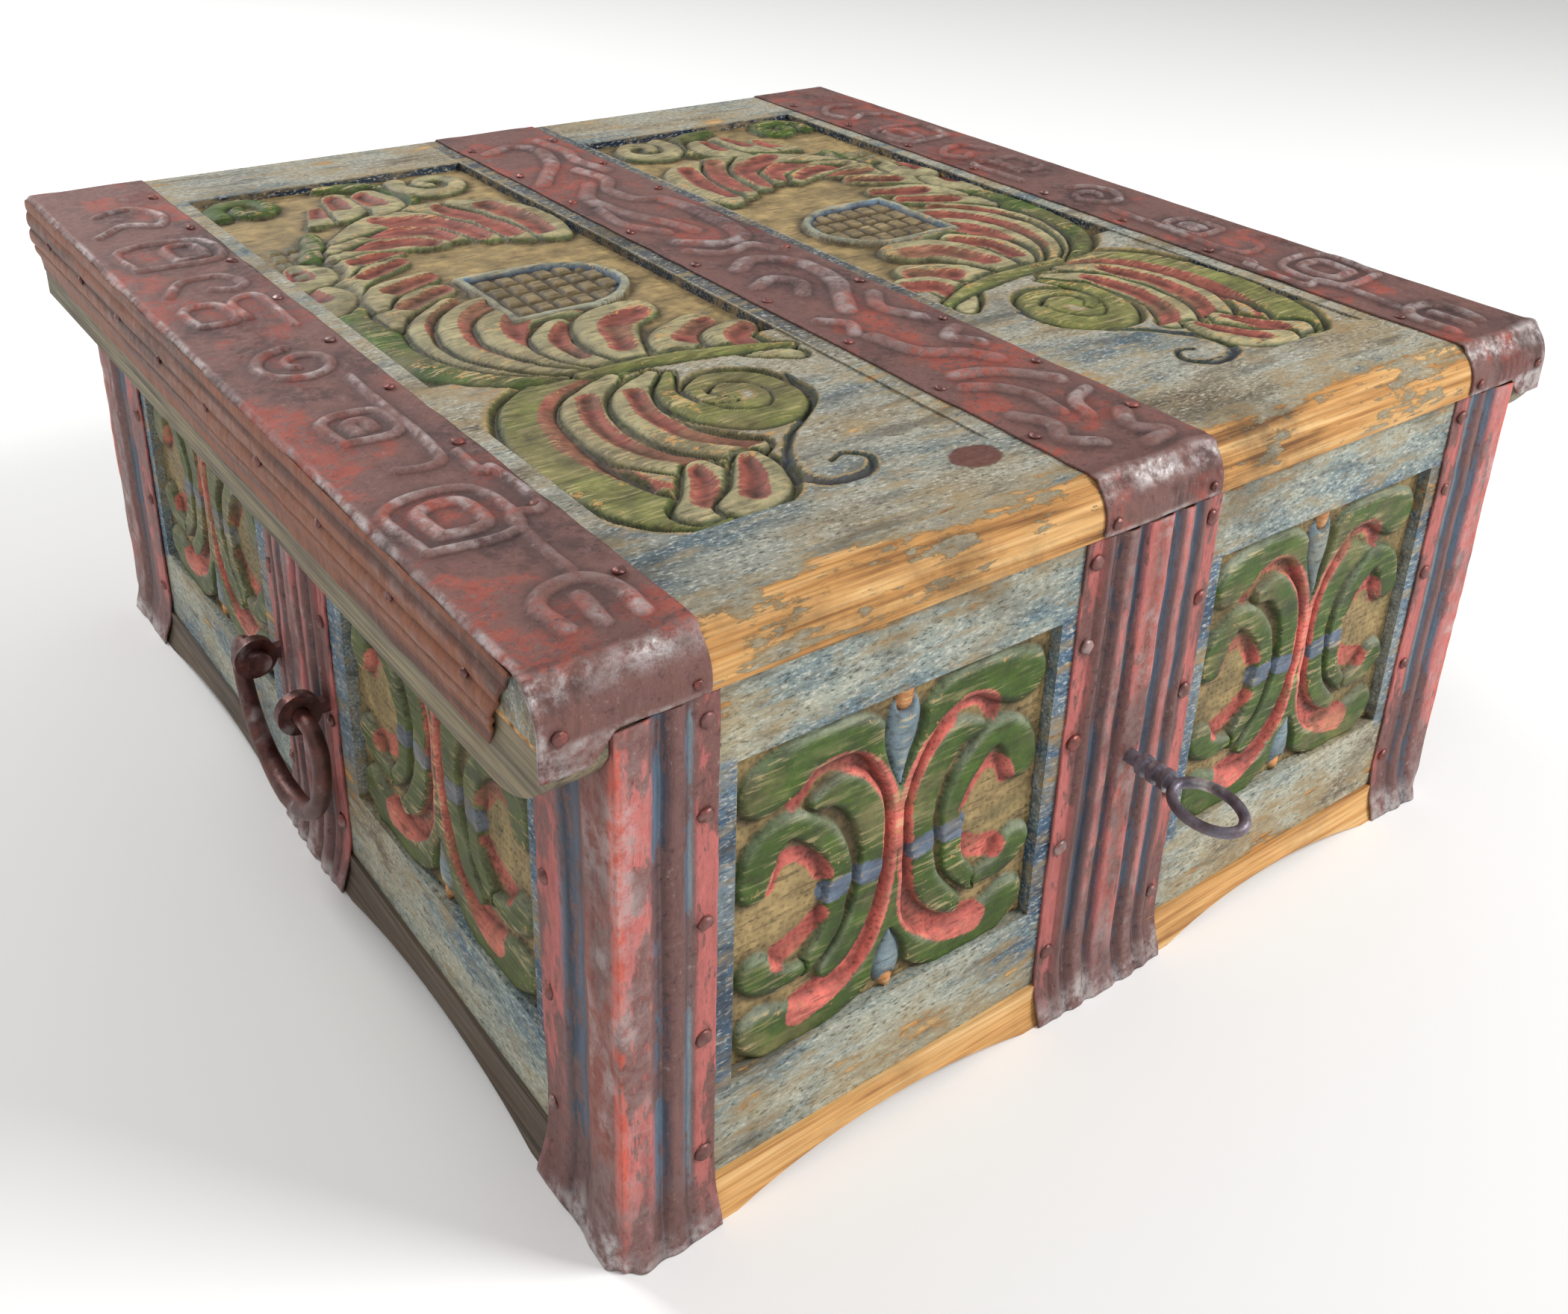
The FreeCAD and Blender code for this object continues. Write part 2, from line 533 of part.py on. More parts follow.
# Forged nails: a square shank under a low four-sided head.
def nail(place, outward):
    head = float(dim.nail_head) / 2
    point = float(dim.nail_point) / 2
    shank = float(dim.nail_shank) / 2
    top = float(dim.nail_head_height)
    low = -float(dim.nail_length)

    def square(half, up):
        corners = ((-half, -half), (half, -half), (half, half), (-half, half))
        return [Vector(x, y, up) for x, y in corners]

    cap = lofted([square(head, 0), square(point, top)])
    stem = lofted([square(shank, low), square(shank, 0)])
    solid = cap.fuse(stem).removeSplitter()
    solid.Placement = FreeCAD.Placement(place, Rotation(Vector(0, 0, 1), outward))
    return solid


def make_nails():
    edge = float(dim.nail_edge)
    lift = float(dim.sheet)
    outward = {"front": Vector(0, -1, 0), "back": Vector(0, 1, 0), "left": Vector(-1, 0, 0),
               "right": Vector(1, 0, 0)}
    for face in outward:
        front = face in ("front", "back")
        half = float(side_x) if front else float(dim.body_depth) / 2
        leg = float(dim.corner_front_leg if front else dim.corner_side_leg)
        strap = float(dim.front_strap_width if front else dim.side_strap_width) / 2
        columns = [half + float(rise) - leg + edge, strap - edge]
        solids = []
        for share in NAIL_SHARES:
            for column in columns:
                for side in (-1, 1):
                    place = on_face(face, side * column, lift, float(iron_top) * share)
                    solids.append(nail(place, outward[face]))
        if face == "back":
            solids += hinge_nails(-1)
        keep(f"{face}_nails", shaped(f"{face}_nails", Part.makeCompound(solids)))


def hinge_nails(side):
    # Two nails through each hinge leaf, above or below the pin.
    up = float(lid_base) + side * (float(dim.hinge_leaf_height) - float(dim.nail_edge))
    half = float(dim.hinge_width) / 2 - float(dim.nail_edge)
    solids = []
    for hinge in (-1, 1):
        for edge in (-1, 1):
            along = hinge * float(dim.hinge_place) + edge * half
            solids.append(nail(on_face("back", along, dim.hinge_leaf, up), Vector(0, 1, 0)))
    return solids


# Lid: board, end battens and the three sheet-iron bands.
def make_lid_board():
    section = [(0, 0), (lid_depth, 0), (lid_depth, dim.lid_thickness), (dim.ovolo_depth, dim.lid_thickness),
               (0, dim.lid_thickness - dim.ovolo_height, dim.ovolo_radius, -1)]
    board = padded("lid_blank", "YZ_Plane", section, lid_end * 2)
    seat(board, -lid_end, lid_front, lid_base)
    inner = dim.middle_band_width / 2 + dim.lid_field_margin
    outer = lid_end - dim.end_band_width - dim.lid_field_margin
    front = lid_front + dim.lid_field_front
    floor = lid_top - dim.lid_field_depth
    extent = (outer - inner, lid_field_length, dim.lid_field_depth + dim.overrun)
    fields = []
    for name, left in (("left", -outer), ("right", inner)):
        fields.append(box(f"lid_field_{name}", (left, front, floor), extent))
    keep("lid_board", cut("lid_board", board, fields))
    make_leaves("left_lid_carving", -1, outer, outer - inner, front, floor)
    make_leaves("right_lid_carving", 1, outer, outer - inner, front, floor)


def leaf_outline(line):
    # Both edges of a leaf whose middle line holds places and full widths.
    left = []
    right = []
    for index, (x, y, width) in enumerate(line):
        before = line[max(index - 1, 0)]
        after = line[min(index + 1, len(line) - 1)]
        run = math.hypot(after[0] - before[0], after[1] - before[1])
        across = Vector((before[1] - after[1]) / run, (after[0] - before[0]) / run, 0)
        left.append(Vector(x, y, 0) + across * (width / 2))
        right.append(Vector(x, y, 0) - across * (width / 2))
    return left + right[::-1]


def make_leaves(name, side, outer, width, front, floor):
    # Main leaves of one carved lid field; the two fields mirror each other.
    leaves = []
    for shares in LEAF_SHARES:
        line = [(float(width) * x, float(lid_field_length) * y, float(width) * w) for x, y, w in shares]
        corners = []
        for point in leaf_outline(line):
            inside = min(max(point.x, 0), float(width))
            up = min(max(point.y, 0), float(lid_field_length))
            corners.append(Vector(side * (float(outer) - inside), float(front) + up, float(floor)))
        face = Part.Face(Part.makePolygon(corners + [corners[0]]))
        leaves.append(face.extrude(Vector(0, 0, float(dim.leaf_rise))))
    carving = leaves[0].multiFuse(leaves[1:]).removeSplitter()
    keep(name, shaped(name, carving))


def make_battens():
    width = lid_end - batten_inner
    drop = dim.batten_drop
    slope = dim.batten_slope
    sheet_end = drop - dim.batten_sheet_drop
    left = [(0, drop), (slope, sheet_end, dim.batten_radius, 1), (slope, 0), (width, 0), (width, drop)]
    right = [(width, drop, dim.batten_radius, 1), (0, drop), (0, 0), (width - slope, 0),
             (width - slope, sheet_end)]
    past = -dim.overrun
    nose = [(past, past), (dim.batten_nose, past), (dim.batten_nose, 0),
            (0, dim.batten_nose_rise, dim.batten_nose_radius, 1), (past, dim.batten_nose_rise)]
    for name, section, start in (("left_batten", left, -lid_end), ("right_batten", right, batten_inner)):
        board = padded(f"{name}_board", "XZ_Plane", section, lid_depth)
        seat(board, start, back_y, lid_base - drop)
        waste = padded(f"{name}_waste", "YZ_Plane", nose, width + dim.overrun * 2)
        seat(waste, start - dim.overrun, lid_front, lid_base - drop)
        keep(name, cut(name, board, [waste]))


def front_flap(name, left, width):
    # Sheet that folds over the rounded front edge of the lid.
    low = dim.flap_lift
    turn = dim.lid_thickness - dim.ovolo_height
    outer_radius = dim.ovolo_radius + dim.sheet
    lap = dim.sheet + dim.ovolo_depth + dim.overrun
    section = [(0, low), (dim.sheet, low), (dim.sheet, turn),
               (dim.sheet + dim.ovolo_depth, dim.lid_thickness, dim.ovolo_radius, 1),
               (lap, dim.lid_thickness), (lap, dim.lid_thickness + dim.sheet),
               (dim.sheet + dim.ovolo_depth, dim.lid_thickness + dim.sheet), (0, turn, outer_radius, -1)]
    piece = padded(name, "YZ_Plane", section, width)
    seat(piece, left, lid_front - dim.sheet, lid_base)
    return piece


def band_top(name, left, width):
    start = lid_front + dim.ovolo_depth
    return box(name, (left, start, lid_top), (width, back_y + dim.sheet - start, dim.sheet))


def back_flap(name, left, width):
    return box(name, (left, back_y, lid_top - dim.back_flap_drop),
               (width, dim.sheet, dim.back_flap_drop + dim.sheet))


def make_bands():
    width = dim.middle_band_width
    left = -width / 2
    keep("middle_lid_band", fuse("middle_lid_band", [
        band_top("middle_band_top", left, width),
        front_flap("middle_band_flap", left, width),
        back_flap("middle_band_back", left, width),
    ]))
    outer = lid_end + dim.sheet
    width = dim.end_band_width + dim.sheet
    side_height = dim.lid_thickness + dim.sheet
    drop = dim.batten_sheet_drop
    slope = dim.batten_slope
    thick = dim.sheet
    hollow = dim.batten_radius
    tip_drop = dim.tip_drop
    past = -dim.overrun
    snip = [(past, past), (dim.sheet_snip, past), (dim.sheet_snip, 0), (0, drop + dim.lid_thickness),
            (past, drop + dim.lid_thickness)]
    tip_width = lid_end - batten_inner + dim.sheet
    left_side = [(0, drop + side_height), (0, drop), (slope, 0, hollow, 1), (slope + thick, 0),
                 (thick, drop, hollow, -1), (thick, drop + side_height)]
    right_side = [(slope, drop + side_height), (slope, drop), (0, 0, hollow, -1), (thick, 0),
                  (slope + thick, drop, hollow, 1), (slope + thick, drop + side_height)]
    for name, section, side_start, band_start, tip_start in (
        ("left_lid_band", left_side, -outer, -outer, -outer),
        ("right_lid_band", right_side, lid_end - slope, outer - width, batten_inner),
    ):
        blank = padded(f"{name}_blank", "XZ_Plane", section, lid_depth + dim.sheet)
        seat(blank, side_start, back_y, lid_base - drop)
        waste = padded(f"{name}_waste", "YZ_Plane", snip, slope + thick + dim.overrun * 2)
        seat(waste, side_start - dim.overrun, lid_front, lid_base - drop)
        side = cut(f"{name}_side", blank, [waste])
        tip = box(f"{name}_tip", (tip_start, lid_front - dim.sheet, lid_base - tip_drop),
                  (tip_width, dim.sheet, tip_drop + dim.flap_lift))
        keep(name, fuse(name, [
            side, tip, band_top(f"{name}_top", band_start, width),
            front_flap(f"{name}_flap", band_start, width), back_flap(f"{name}_back", band_start, width),
        ]))


def make_lid_nails():
    edge = float(dim.nail_edge)
    lift = float(dim.sheet)
    solids = []
    top = float(lid_top) + lift
    start = float(lid_front) + float(dim.ovolo_depth)
    length = float(back_y) - start
    inner = float(lid_end) - float(dim.end_band_width) + edge
    side_up = float(lid_base) + edge
    for share in BAND_NAIL_SHARES:
        for side in (-1, 1):
            for column in (inner, float(dim.middle_band_width) / 2 - edge):
                solids.append(nail(Vector(side * column, start + length * share, top), Vector(0, 0, 1)))
            solids.append(nail(Vector(side * (float(lid_end) + lift), start + length * share, side_up),
                               Vector(side, 0, 0)))
    for column in (inner, float(dim.middle_band_width) / 2 - edge, float(lid_end) - edge):
        for side in (-1, 1):
            place = Vector(side * column, float(lid_front) - lift, float(lid_base) + edge)
            solids.append(nail(place, Vector(0, -1, 0)))
    solids += hinge_nails(1)
    keep("lid_nails", shaped("lid_nails", Part.makeCompound(solids)))


# Back hinges: a body leaf with two knuckles, a lid leaf with one, and a pin.
def make_hinges():
    pin_y = back_y + dim.knuckle_radius
    knuckle = (dim.hinge_width - dim.knuckle_gap * 2) / 3
    bore = dim.pin_radius + dim.pin_fit
    along = Vector(1, 0, 0)
    for name, middle in (("left", -dim.hinge_place), ("right", dim.hinge_place)):
        left = middle - dim.hinge_width / 2
        starts = [left, left + knuckle + dim.knuckle_gap, left + (knuckle + dim.knuckle_gap) * 2]
        barrels = []
        for number, start in enumerate(starts):
            barrels.append(cylinder(f"{name}_knuckle{number}", (start, pin_y, lid_base), dim.knuckle_radius,
                                    knuckle, along))
        leaf = (dim.hinge_width, dim.hinge_leaf, dim.hinge_leaf_height - dim.knuckle_radius - dim.knuckle_gap)
        low = box(f"{name}_low_leaf", (left, back_y, lid_base - dim.hinge_leaf_height), leaf)
        ears = []
        for number in (0, 2):
            ears.append(box(f"{name}_ear{number}",
                            (starts[number], back_y, lid_base - dim.knuckle_radius - dim.knuckle_gap),
                            (knuckle, dim.hinge_leaf, dim.knuckle_radius + dim.knuckle_gap)))
        high = box(f"{name}_high_leaf", (left, back_y, lid_base + dim.knuckle_radius + dim.knuckle_gap), leaf)
        tongue = box(f"{name}_tongue", (starts[1], back_y, lid_base),
                     (knuckle, dim.hinge_leaf, dim.knuckle_radius + dim.knuckle_gap))
        for part_name, pieces in ((f"{name}_hinge_body_leaf", [low, barrels[0], barrels[2]] + ears),
                                  (f"{name}_hinge_lid_leaf", [high, barrels[1], tongue])):
            drill = cylinder(f"{part_name}_bore", (left - dim.overrun, pin_y, lid_base), bore,
                             dim.hinge_width + dim.overrun * 2, along)
            keep(part_name, cut(part_name, fuse(f"{part_name}_blank", pieces), [drill]))
        keep(f"{name}_hinge_pin", cylinder(f"{name}_hinge_pin", (left - dim.pin_overhang, pin_y, lid_base),
                                           dim.pin_radius, dim.hinge_width + dim.pin_overhang * 2, along))


# Handles: a bail whose turned-in tips pass through two eye staples.
eye_outer = dim.eye_hole + dim.eye_bar * 2
eye_x = side_x + rise + dim.eye_clearance + eye_outer


def make_staples(name, side):
    # A flat band bent into an eye, with its bar driven through the wall.
    bars = []
    holes = []
    shank_end = side_x - dim.wall_thickness
    length = eye_x - dim.eye_hole - dim.eye_bar - shank_end
    shank_start = shank_end if side > 0 else -(shank_end + length)
    across = Vector(0, 1, 0)
    for number, shift in enumerate((-dim.staple_spacing / 2, dim.staple_spacing / 2)):
        near = middle_y + shift - dim.eye_band / 2
        bars.append(cylinder(f"{name}_eye{number}", (eye_x * side, near, dim.handle_height), eye_outer,
                             dim.eye_band, across))
        bars.append(box(f"{name}_shank{number}", (shank_start, near, dim.handle_height - dim.eye_bar),
                        (length, dim.eye_band, dim.eye_bar * 2)))
        holes.append(cylinder(f"{name}_hole{number}", (eye_x * side, near - dim.overrun, dim.handle_height),
                              dim.eye_hole, dim.eye_band + dim.overrun * 2, across))
    keep(name, cut(name, fuse(f"{name}_bars", bars), holes))


def bail_shape(x):
    height = float(dim.handle_height)
    middle = float(middle_y)
    bend = float(dim.bail_bend)
    bow = float(dim.bail_bow)
    tip = float(dim.staple_spacing) / 2 - float(dim.eye_bar) - float(dim.bail_upset_length)
    turn = bow - bend

    def at(along, down):
        return Vector(x, middle + along, height - down)

    knee = math.sqrt(0.5)
    runs = []
    for side in (-1, 1):
        run = Part.LineSegment(at(side * tip, 0), at(side * turn, 0)).toShape()
        corner = Part.Arc(at(side * turn, 0), at(side * (turn + bend * knee), bend * (1 - knee)),
                          at(side * bow, bend)).toShape()
        runs.append((run, corner))
    lower = []
    for side in (-1, 1):
        lower.append(Part.Arc(at(side * bow, bend), at(side * bow * knee, bend + bow * knee),
                              at(0, bend + bow)).toShape())
    solids = []
    for side, (run, corner), arc in zip((-1, 1), runs, lower):
        spine = Part.Wire([run, corner, arc])
        shell = Part.BRepOffsetAPI.MakePipeShell(spine)
        thin = Part.Wire(Part.makeCircle(float(dim.bail_tip), at(side * tip, 0), Vector(0, side, 0)))
        neck = Part.Wire(Part.makeCircle(float(dim.bail_tip), at(side * turn, 0), Vector(0, side, 0)))
        thick = Part.Wire(Part.makeCircle(float(dim.bail_grip), at(0, bend + bow), Vector(0, -side, 0)))
        for profile in (thin, neck, thick):
            shell.add(profile)
        shell.build()
        shell.makeSolid()
        solids.append(shell.shape())
        length = float(dim.bail_upset_length)
        solids.append(Part.makeCylinder(float(dim.bail_upset), length,
                                        at(side * (tip + length), 0), Vector(0, -side, 0)))
    return solids[0].multiFuse(solids[1:]).removeSplitter()


def make_handles():
    for name, side in (("left", -1), ("right", 1)):
        make_staples(f"{name}_handle_staples", side)
        keep(f"{name}_handle", shaped(f"{name}_handle", bail_shape(side * float(eye_x))))


# Lock behind the front wall, with its bolt, key and lid staple.
def make_lock():
    height = dim.lock_foot + iron_top - dim.keyhole_height - dim.lock_top_gap
    foot = dim.keyhole_height - dim.lock_foot
    plate_back = inner_y + dim.lock_plate
    plate = box("lock_sheet", (-dim.lock_width / 2, inner_y, foot),
                (dim.lock_width, dim.lock_plate, height))
    bolt_front = plate_back + dim.bolt_stand
    guides = []
    guide_half = dim.lock_width / 2 - dim.lock_flange - dim.lock_cover_wall * 2
    staple_low = lid_base - dim.staple_drop
    for number, up in enumerate((dim.keyhole_height + dim.lock_foot, staple_low - dim.bolt_guide * 2)):
        guides.append(box(f"bolt_guide{number}", (-guide_half, plate_back, up),
                          (guide_half * 2, dim.bolt_stand - dim.bolt_play, dim.bolt_guide)))
    drill = cylinder("lock_keyway", (0, inner_y - dim.overrun, dim.keyhole_height),
                     dim.key_shank + dim.key_fit, dim.lock_plate + dim.overrun * 2, Vector(0, 1, 0))
    slot = box("lock_keyslot", (-dim.keyhole_slot / 2, inner_y - dim.overrun,
                                dim.keyhole_height - dim.bit_reach - dim.key_fit),
               (dim.keyhole_slot, dim.lock_plate + dim.overrun * 2, dim.bit_reach))
    keep("lock_plate", cut("lock_plate", fuse("lock_plate_blank", [plate] + guides), [drill, slot]))

    flange = float(dim.lock_flange) / 2
    nails = []
    for side in (-1, 1):
        for up in (float(foot) + flange, float(foot + height) - flange):
            place = Vector(side * (float(dim.lock_width) / 2 - flange), float(plate_back), up)
            nails.append(nail(place, Vector(0, 1, 0)))
    keep("lock_nails", shaped("lock_nails", Part.makeCompound(nails)))

    half = dim.lock_width / 2 - dim.lock_flange
    skin = dim.lock_cover_wall
    cover_foot = foot + dim.lock_flange
    cover_height = height - dim.lock_flange * 2
    case = box("cover_case", (-half, plate_back, cover_foot),
               (half * 2, dim.lock_cover_depth, cover_height))
    hollow = box("cover_hollow", (-half + skin, plate_back - dim.overrun, cover_foot + skin),
                 ((half - skin) * 2, dim.lock_cover_depth - skin + dim.overrun, cover_height + dim.overrun))
    rest = cylinder("cover_key_hole", (0, plate_back, dim.keyhole_height), dim.key_shank + dim.key_fit,
                    dim.lock_cover_depth + dim.overrun, Vector(0, 1, 0))
    keep("lock_cover", cut("lock_cover", case, [hollow, rest]))

    # The bit stands a half right angle left of upright at rest, in the notch between the talons.
    diagonal_share = math.sqrt(0.5)
    notch = -dim.bit_reach * diagonal_share
    bar_right = notch * 2 - dim.staple_width / 2 - dim.bolt_play * 2
    bar_left = bar_right - dim.bolt_bar
    low = dim.keyhole_height + dim.bit_reach * diagonal_share - dim.talon_lap
    arm_top = lid_base - dim.lid_gap - dim.bolt_arm
    arm_end = -dim.staple_width
    upright = box("bolt_upright", (bar_left, bolt_front, low),
                  (dim.bolt_bar, dim.bolt_thickness, arm_top - low))
    arm = box("bolt_shoot", (bar_left, bolt_front, arm_top - dim.bolt_arm),
              (arm_end - bar_left, dim.bolt_thickness, dim.bolt_arm))
    foot_width = notch + dim.talon_gap / 2 + dim.talon - bar_right
    talons = box("bolt_talons", (bar_right, bolt_front, low),
                 (foot_width, dim.bolt_thickness, dim.talon_height))
    gap = box("bolt_notch", (notch - dim.talon_gap / 2, bolt_front - dim.overrun, low - dim.overrun),
              (dim.talon_gap, dim.bolt_thickness + dim.overrun * 2, dim.notch_height + dim.overrun))
    keep("lock_bolt", cut("lock_bolt", fuse("bolt_blank", [upright, arm, talons]), [gap]))

    bar = dim.staple_bar
    legs_front = plate_back + dim.staple_room
    inner_gap = bolt_front + dim.bolt_thickness + dim.staple_room - legs_front - bar
    legs = []
    for number, start in enumerate((legs_front, legs_front + bar + inner_gap)):
        legs.append(box(f"staple_leg{number}", (-dim.staple_width / 2, start, staple_low),
                        (dim.staple_width, bar, dim.staple_drop)))
    legs.append(box("staple_bridge", (-dim.staple_width / 2, legs_front, staple_low),
                    (dim.staple_width, bar * 2 + inner_gap, bar)))
    legs.append(box("staple_base", (-dim.staple_plate_width / 2, legs_front, lid_base - dim.staple_plate),
                    (dim.staple_plate_width, bar * 2 + inner_gap + dim.staple_room, dim.staple_plate)))
    keep("lid_staple", fuse("lid_staple", legs))
    make_key(plate_back, bolt_front)


def make_key(plate_back, bolt_front):
    along = Vector(0, 1, 0)
    up = dim.keyhole_height
    bow_end = front_y - dim.key_reach
    shank_start = bow_end + dim.bow_length - dim.bow_bar
    shank_end = plate_back + dim.lock_cover_depth
    shank = cylinder("key_shank_bar", (0, shank_start, up), dim.key_shank, shank_end - shank_start, along)
    collars = []
    for number in range(3):
        place = front_y - dim.key_collar_place - dim.key_collar_length * number * 2
        collars.append(cylinder(f"key_collar{number}", (0, place, up), dim.key_collar,
                                dim.key_collar_length, along))
    half_length = float(dim.bow_length) / 2 - float(dim.bow_bar)
    half_width = float(dim.bow_width) / 2 - float(dim.bow_bar)
    oval = Part.Wire(Part.Ellipse(Vector(0, 0, 0), half_length, half_width).toShape())
    section = Part.Wire(Part.makeCircle(float(dim.bow_bar), Vector(half_length, 0, 0), along))
    bow = shaped("key_ring", oval.makePipe(Part.Face(section)))
    bow.Placement.Rotation = Rotation(along, BOW_TILT).multiply(Rotation(Vector(1, 0, 0), along))
    seat(bow, 0, bow_end + dim.bow_length / 2, up)
    bit = box("key_bit", (0, 0, 0), (dim.bit_thickness, dim.bit_length, dim.bit_reach))
    bit.Placement.Rotation = Rotation(along, BIT_TILT)
    diagonal_share = math.sqrt(0.5)
    shift = dim.bit_thickness / 2 * diagonal_share
    seat(bit, -shift, bolt_front - (dim.bit_length - dim.bolt_thickness) / 2, up - shift)
    keep("key", fuse("key", [shank, bow, bit] + collars))


make_walls()
make_base()
make_irons()
make_nails()
make_lid_board()
make_battens()
make_bands()
make_lid_nails()
make_hinges()
make_handles()
make_lock()
doc.recompute()

for thing in doc.Objects:
    if "Invalid" in thing.State or "Error" in thing.State:
        raise RuntimeError(f"{thing.Label} did not build: {thing.State}")
for name, piece in nodes.items():
    if piece.Shape.isNull() or not piece.Shape.isValid():
        raise RuntimeError(f"{name} has no valid shape")
    if piece.Shape.Volume <= 0:
        raise RuntimeError(f"{name} has no volume")

os.makedirs("parts", exist_ok=True)
for name, piece in nodes.items():
    piece.Shape.exportStep(f"parts/{name}.step")
    print(name, len(piece.Shape.Solids), round(piece.Shape.Volume))
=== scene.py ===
import math
import bmesh
import bpy
import numpy as np
from functools import reduce
from mathutils import Matrix, Vector


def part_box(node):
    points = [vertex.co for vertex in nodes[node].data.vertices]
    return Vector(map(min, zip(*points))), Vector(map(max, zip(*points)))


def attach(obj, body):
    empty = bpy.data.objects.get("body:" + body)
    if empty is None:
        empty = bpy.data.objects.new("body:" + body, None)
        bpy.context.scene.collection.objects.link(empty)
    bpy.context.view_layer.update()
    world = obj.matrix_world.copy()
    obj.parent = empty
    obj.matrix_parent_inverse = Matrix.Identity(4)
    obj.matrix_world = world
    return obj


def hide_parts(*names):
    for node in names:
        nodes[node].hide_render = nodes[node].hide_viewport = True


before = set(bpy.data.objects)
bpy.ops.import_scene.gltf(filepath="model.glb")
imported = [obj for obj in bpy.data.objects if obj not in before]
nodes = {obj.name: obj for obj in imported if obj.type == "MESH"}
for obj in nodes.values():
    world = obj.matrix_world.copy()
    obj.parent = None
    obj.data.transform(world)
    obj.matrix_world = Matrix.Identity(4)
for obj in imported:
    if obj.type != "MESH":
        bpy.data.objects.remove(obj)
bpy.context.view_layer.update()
mm = 0.001          # the dictionaries hold millimetres
farOutside = 9.0    # share of a stroke where it doesn't reach

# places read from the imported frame, in metres
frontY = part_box("front_wall")[0].y
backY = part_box("back_wall")[1].y
middleY = (frontY + backY) / 2
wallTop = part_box("front_wall")[1].z
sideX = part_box("front_wall")[1].x
lidLow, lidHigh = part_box("lid_board")
lidBase, lidTop, lidEnd, lidFront = lidLow.z, lidHigh.z, lidHigh.x, lidLow.y
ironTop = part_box("front_left_corner_iron")[1].z


# small tools
def srgb(red, green, blue):
    shares = np.array([red, green, blue]) / 255.0
    return np.where(shares <= 0.04045, shares / 12.92, ((shares + 0.055) / 1.055) ** 2.4)


def smoothNoise(x, y, size, seed):
    # value noise in -1..1 on a square lattice of that size
    rng = np.random.default_rng(seed)
    table = rng.uniform(-1, 1, (64, 64))
    gx, gy = x / size, y / size
    ix, iy = np.floor(gx).astype(int), np.floor(gy).astype(int)
    fx, fy = gx - ix, gy - iy
    fx, fy = fx * fx * (3 - 2 * fx), fy * fy * (3 - 2 * fy)
    low = table[iy % 64, ix % 64] * (1 - fx) + table[iy % 64, (ix + 1) % 64] * fx
    high = table[(iy + 1) % 64, ix % 64] * (1 - fx) + table[(iy + 1) % 64, (ix + 1) % 64] * fx
    return low * (1 - fy) + high * fy


def layeredNoise(x, y, size, seed):
    # patches with ever finer edges, about -1..1
    total = np.zeros_like(x)
    for octave in range(5):
        total = total + 0.55 ** octave * smoothNoise(x, y, size / 2.1 ** octave, seed + 17 * octave)
    return total


def blurred(field, reach):
    # box blur, twice, with the border repeated
    for axis in (0, 1, 0, 1):
        pad = [(0, 0), (0, 0)]
        pad[axis] = (reach + 1, reach)
        total = np.cumsum(np.pad(field, pad, mode="edge"), axis=axis)
        size = field.shape[axis]
        upper = np.take(total, np.arange(2 * reach + 1, 2 * reach + 1 + size), axis=axis)
        lower = np.take(total, np.arange(0, size), axis=axis)
        field = (upper - lower) / (2 * reach + 1)
    return field


def smoothStep(low, high, value):
    share = np.clip((value - low) / (high - low), 0, 1)
    return share * share * (3 - 2 * share)


def toward(paint, target, share):
    # colours moved by a share, a number or a grid of them, towards another colour
    return paint + (target - paint) * np.asarray(share)[..., None]


def dented(x, y, seed, sizes=(19, 7), depths=(0.35, 0.2)):
    # shallow dents of two sizes
    return sum(depths[step] * smoothNoise(x, y, sizes[step], seed + step) for step in (0, 1))


def curveThrough(points, steps=7):
    # a smooth line through given points
    pts = np.array(points, float)
    ends = np.vstack([2 * pts[0] - pts[1], pts, 2 * pts[-1] - pts[-2]])
    line = []
    for index in range(len(pts) - 1):
        a, b, c, d = ends[index:index + 4]
        for step in range(steps):
            t = step / steps
            line.append(0.5 * (2 * b + (c - a) * t + (2 * a - 5 * b + 4 * c - d) * t * t
                               + (3 * b - a - 3 * c + d) * t ** 3))
    line.append(pts[-1])
    line = np.array(line)
    line[:, 2] = np.maximum(line[:, 2], 0.3)    # thinnest that a stroke gets
    return line


def strokeShare(points, x, y):
    # 0 on the stroke's line, 1 at its edge, more outside; points hold x, y and full width
    line = curveThrough(points)
    share = np.full(x.shape, farOutside)
    reach = line[:, 2].max()
    near = ((x > line[:, 0].min() - reach) & (x < line[:, 0].max() + reach)
            & (y > line[:, 1].min() - reach) & (y < line[:, 1].max() + reach))
    nx, ny = x[near], y[near]
    best = np.full(nx.shape, farOutside)
    for start, end in zip(line[:-1], line[1:]):
        run = end[:2] - start[:2]
        along = ((nx - start[0]) * run[0] + (ny - start[1]) * run[1]) / max(run @ run, 1e-9)
        along = np.clip(along, 0, 1)
        away = np.hypot(nx - start[0] - along * run[0], ny - start[1] - along * run[1])
        best = np.minimum(best, away / ((start[2] + (end[2] - start[2]) * along) / 2))
    share[near] = best
    return share


def spiral(x, y, start, turns, outer, inner, width, steps=14):
    # volute: points that wind inwards, for strokeShare
    points = []
    for step in range(steps + 1):
        t = step / steps
        angle = math.radians(start) + t * turns * 2 * math.pi
        radius = outer + (inner - outer) * t
        points.append((x + radius * math.cos(angle), y + radius * math.sin(angle), width * (1 - 0.35 * t)))
    return points


def meshFrom(name, bm):
    mesh = bpy.data.meshes.new(name)
    bm.to_mesh(mesh)
    bm.free()
    return mesh


def linked(name, data):
    thing = bpy.data.objects.new(name, data)
    bpy.context.scene.collection.objects.link(thing)
    return thing


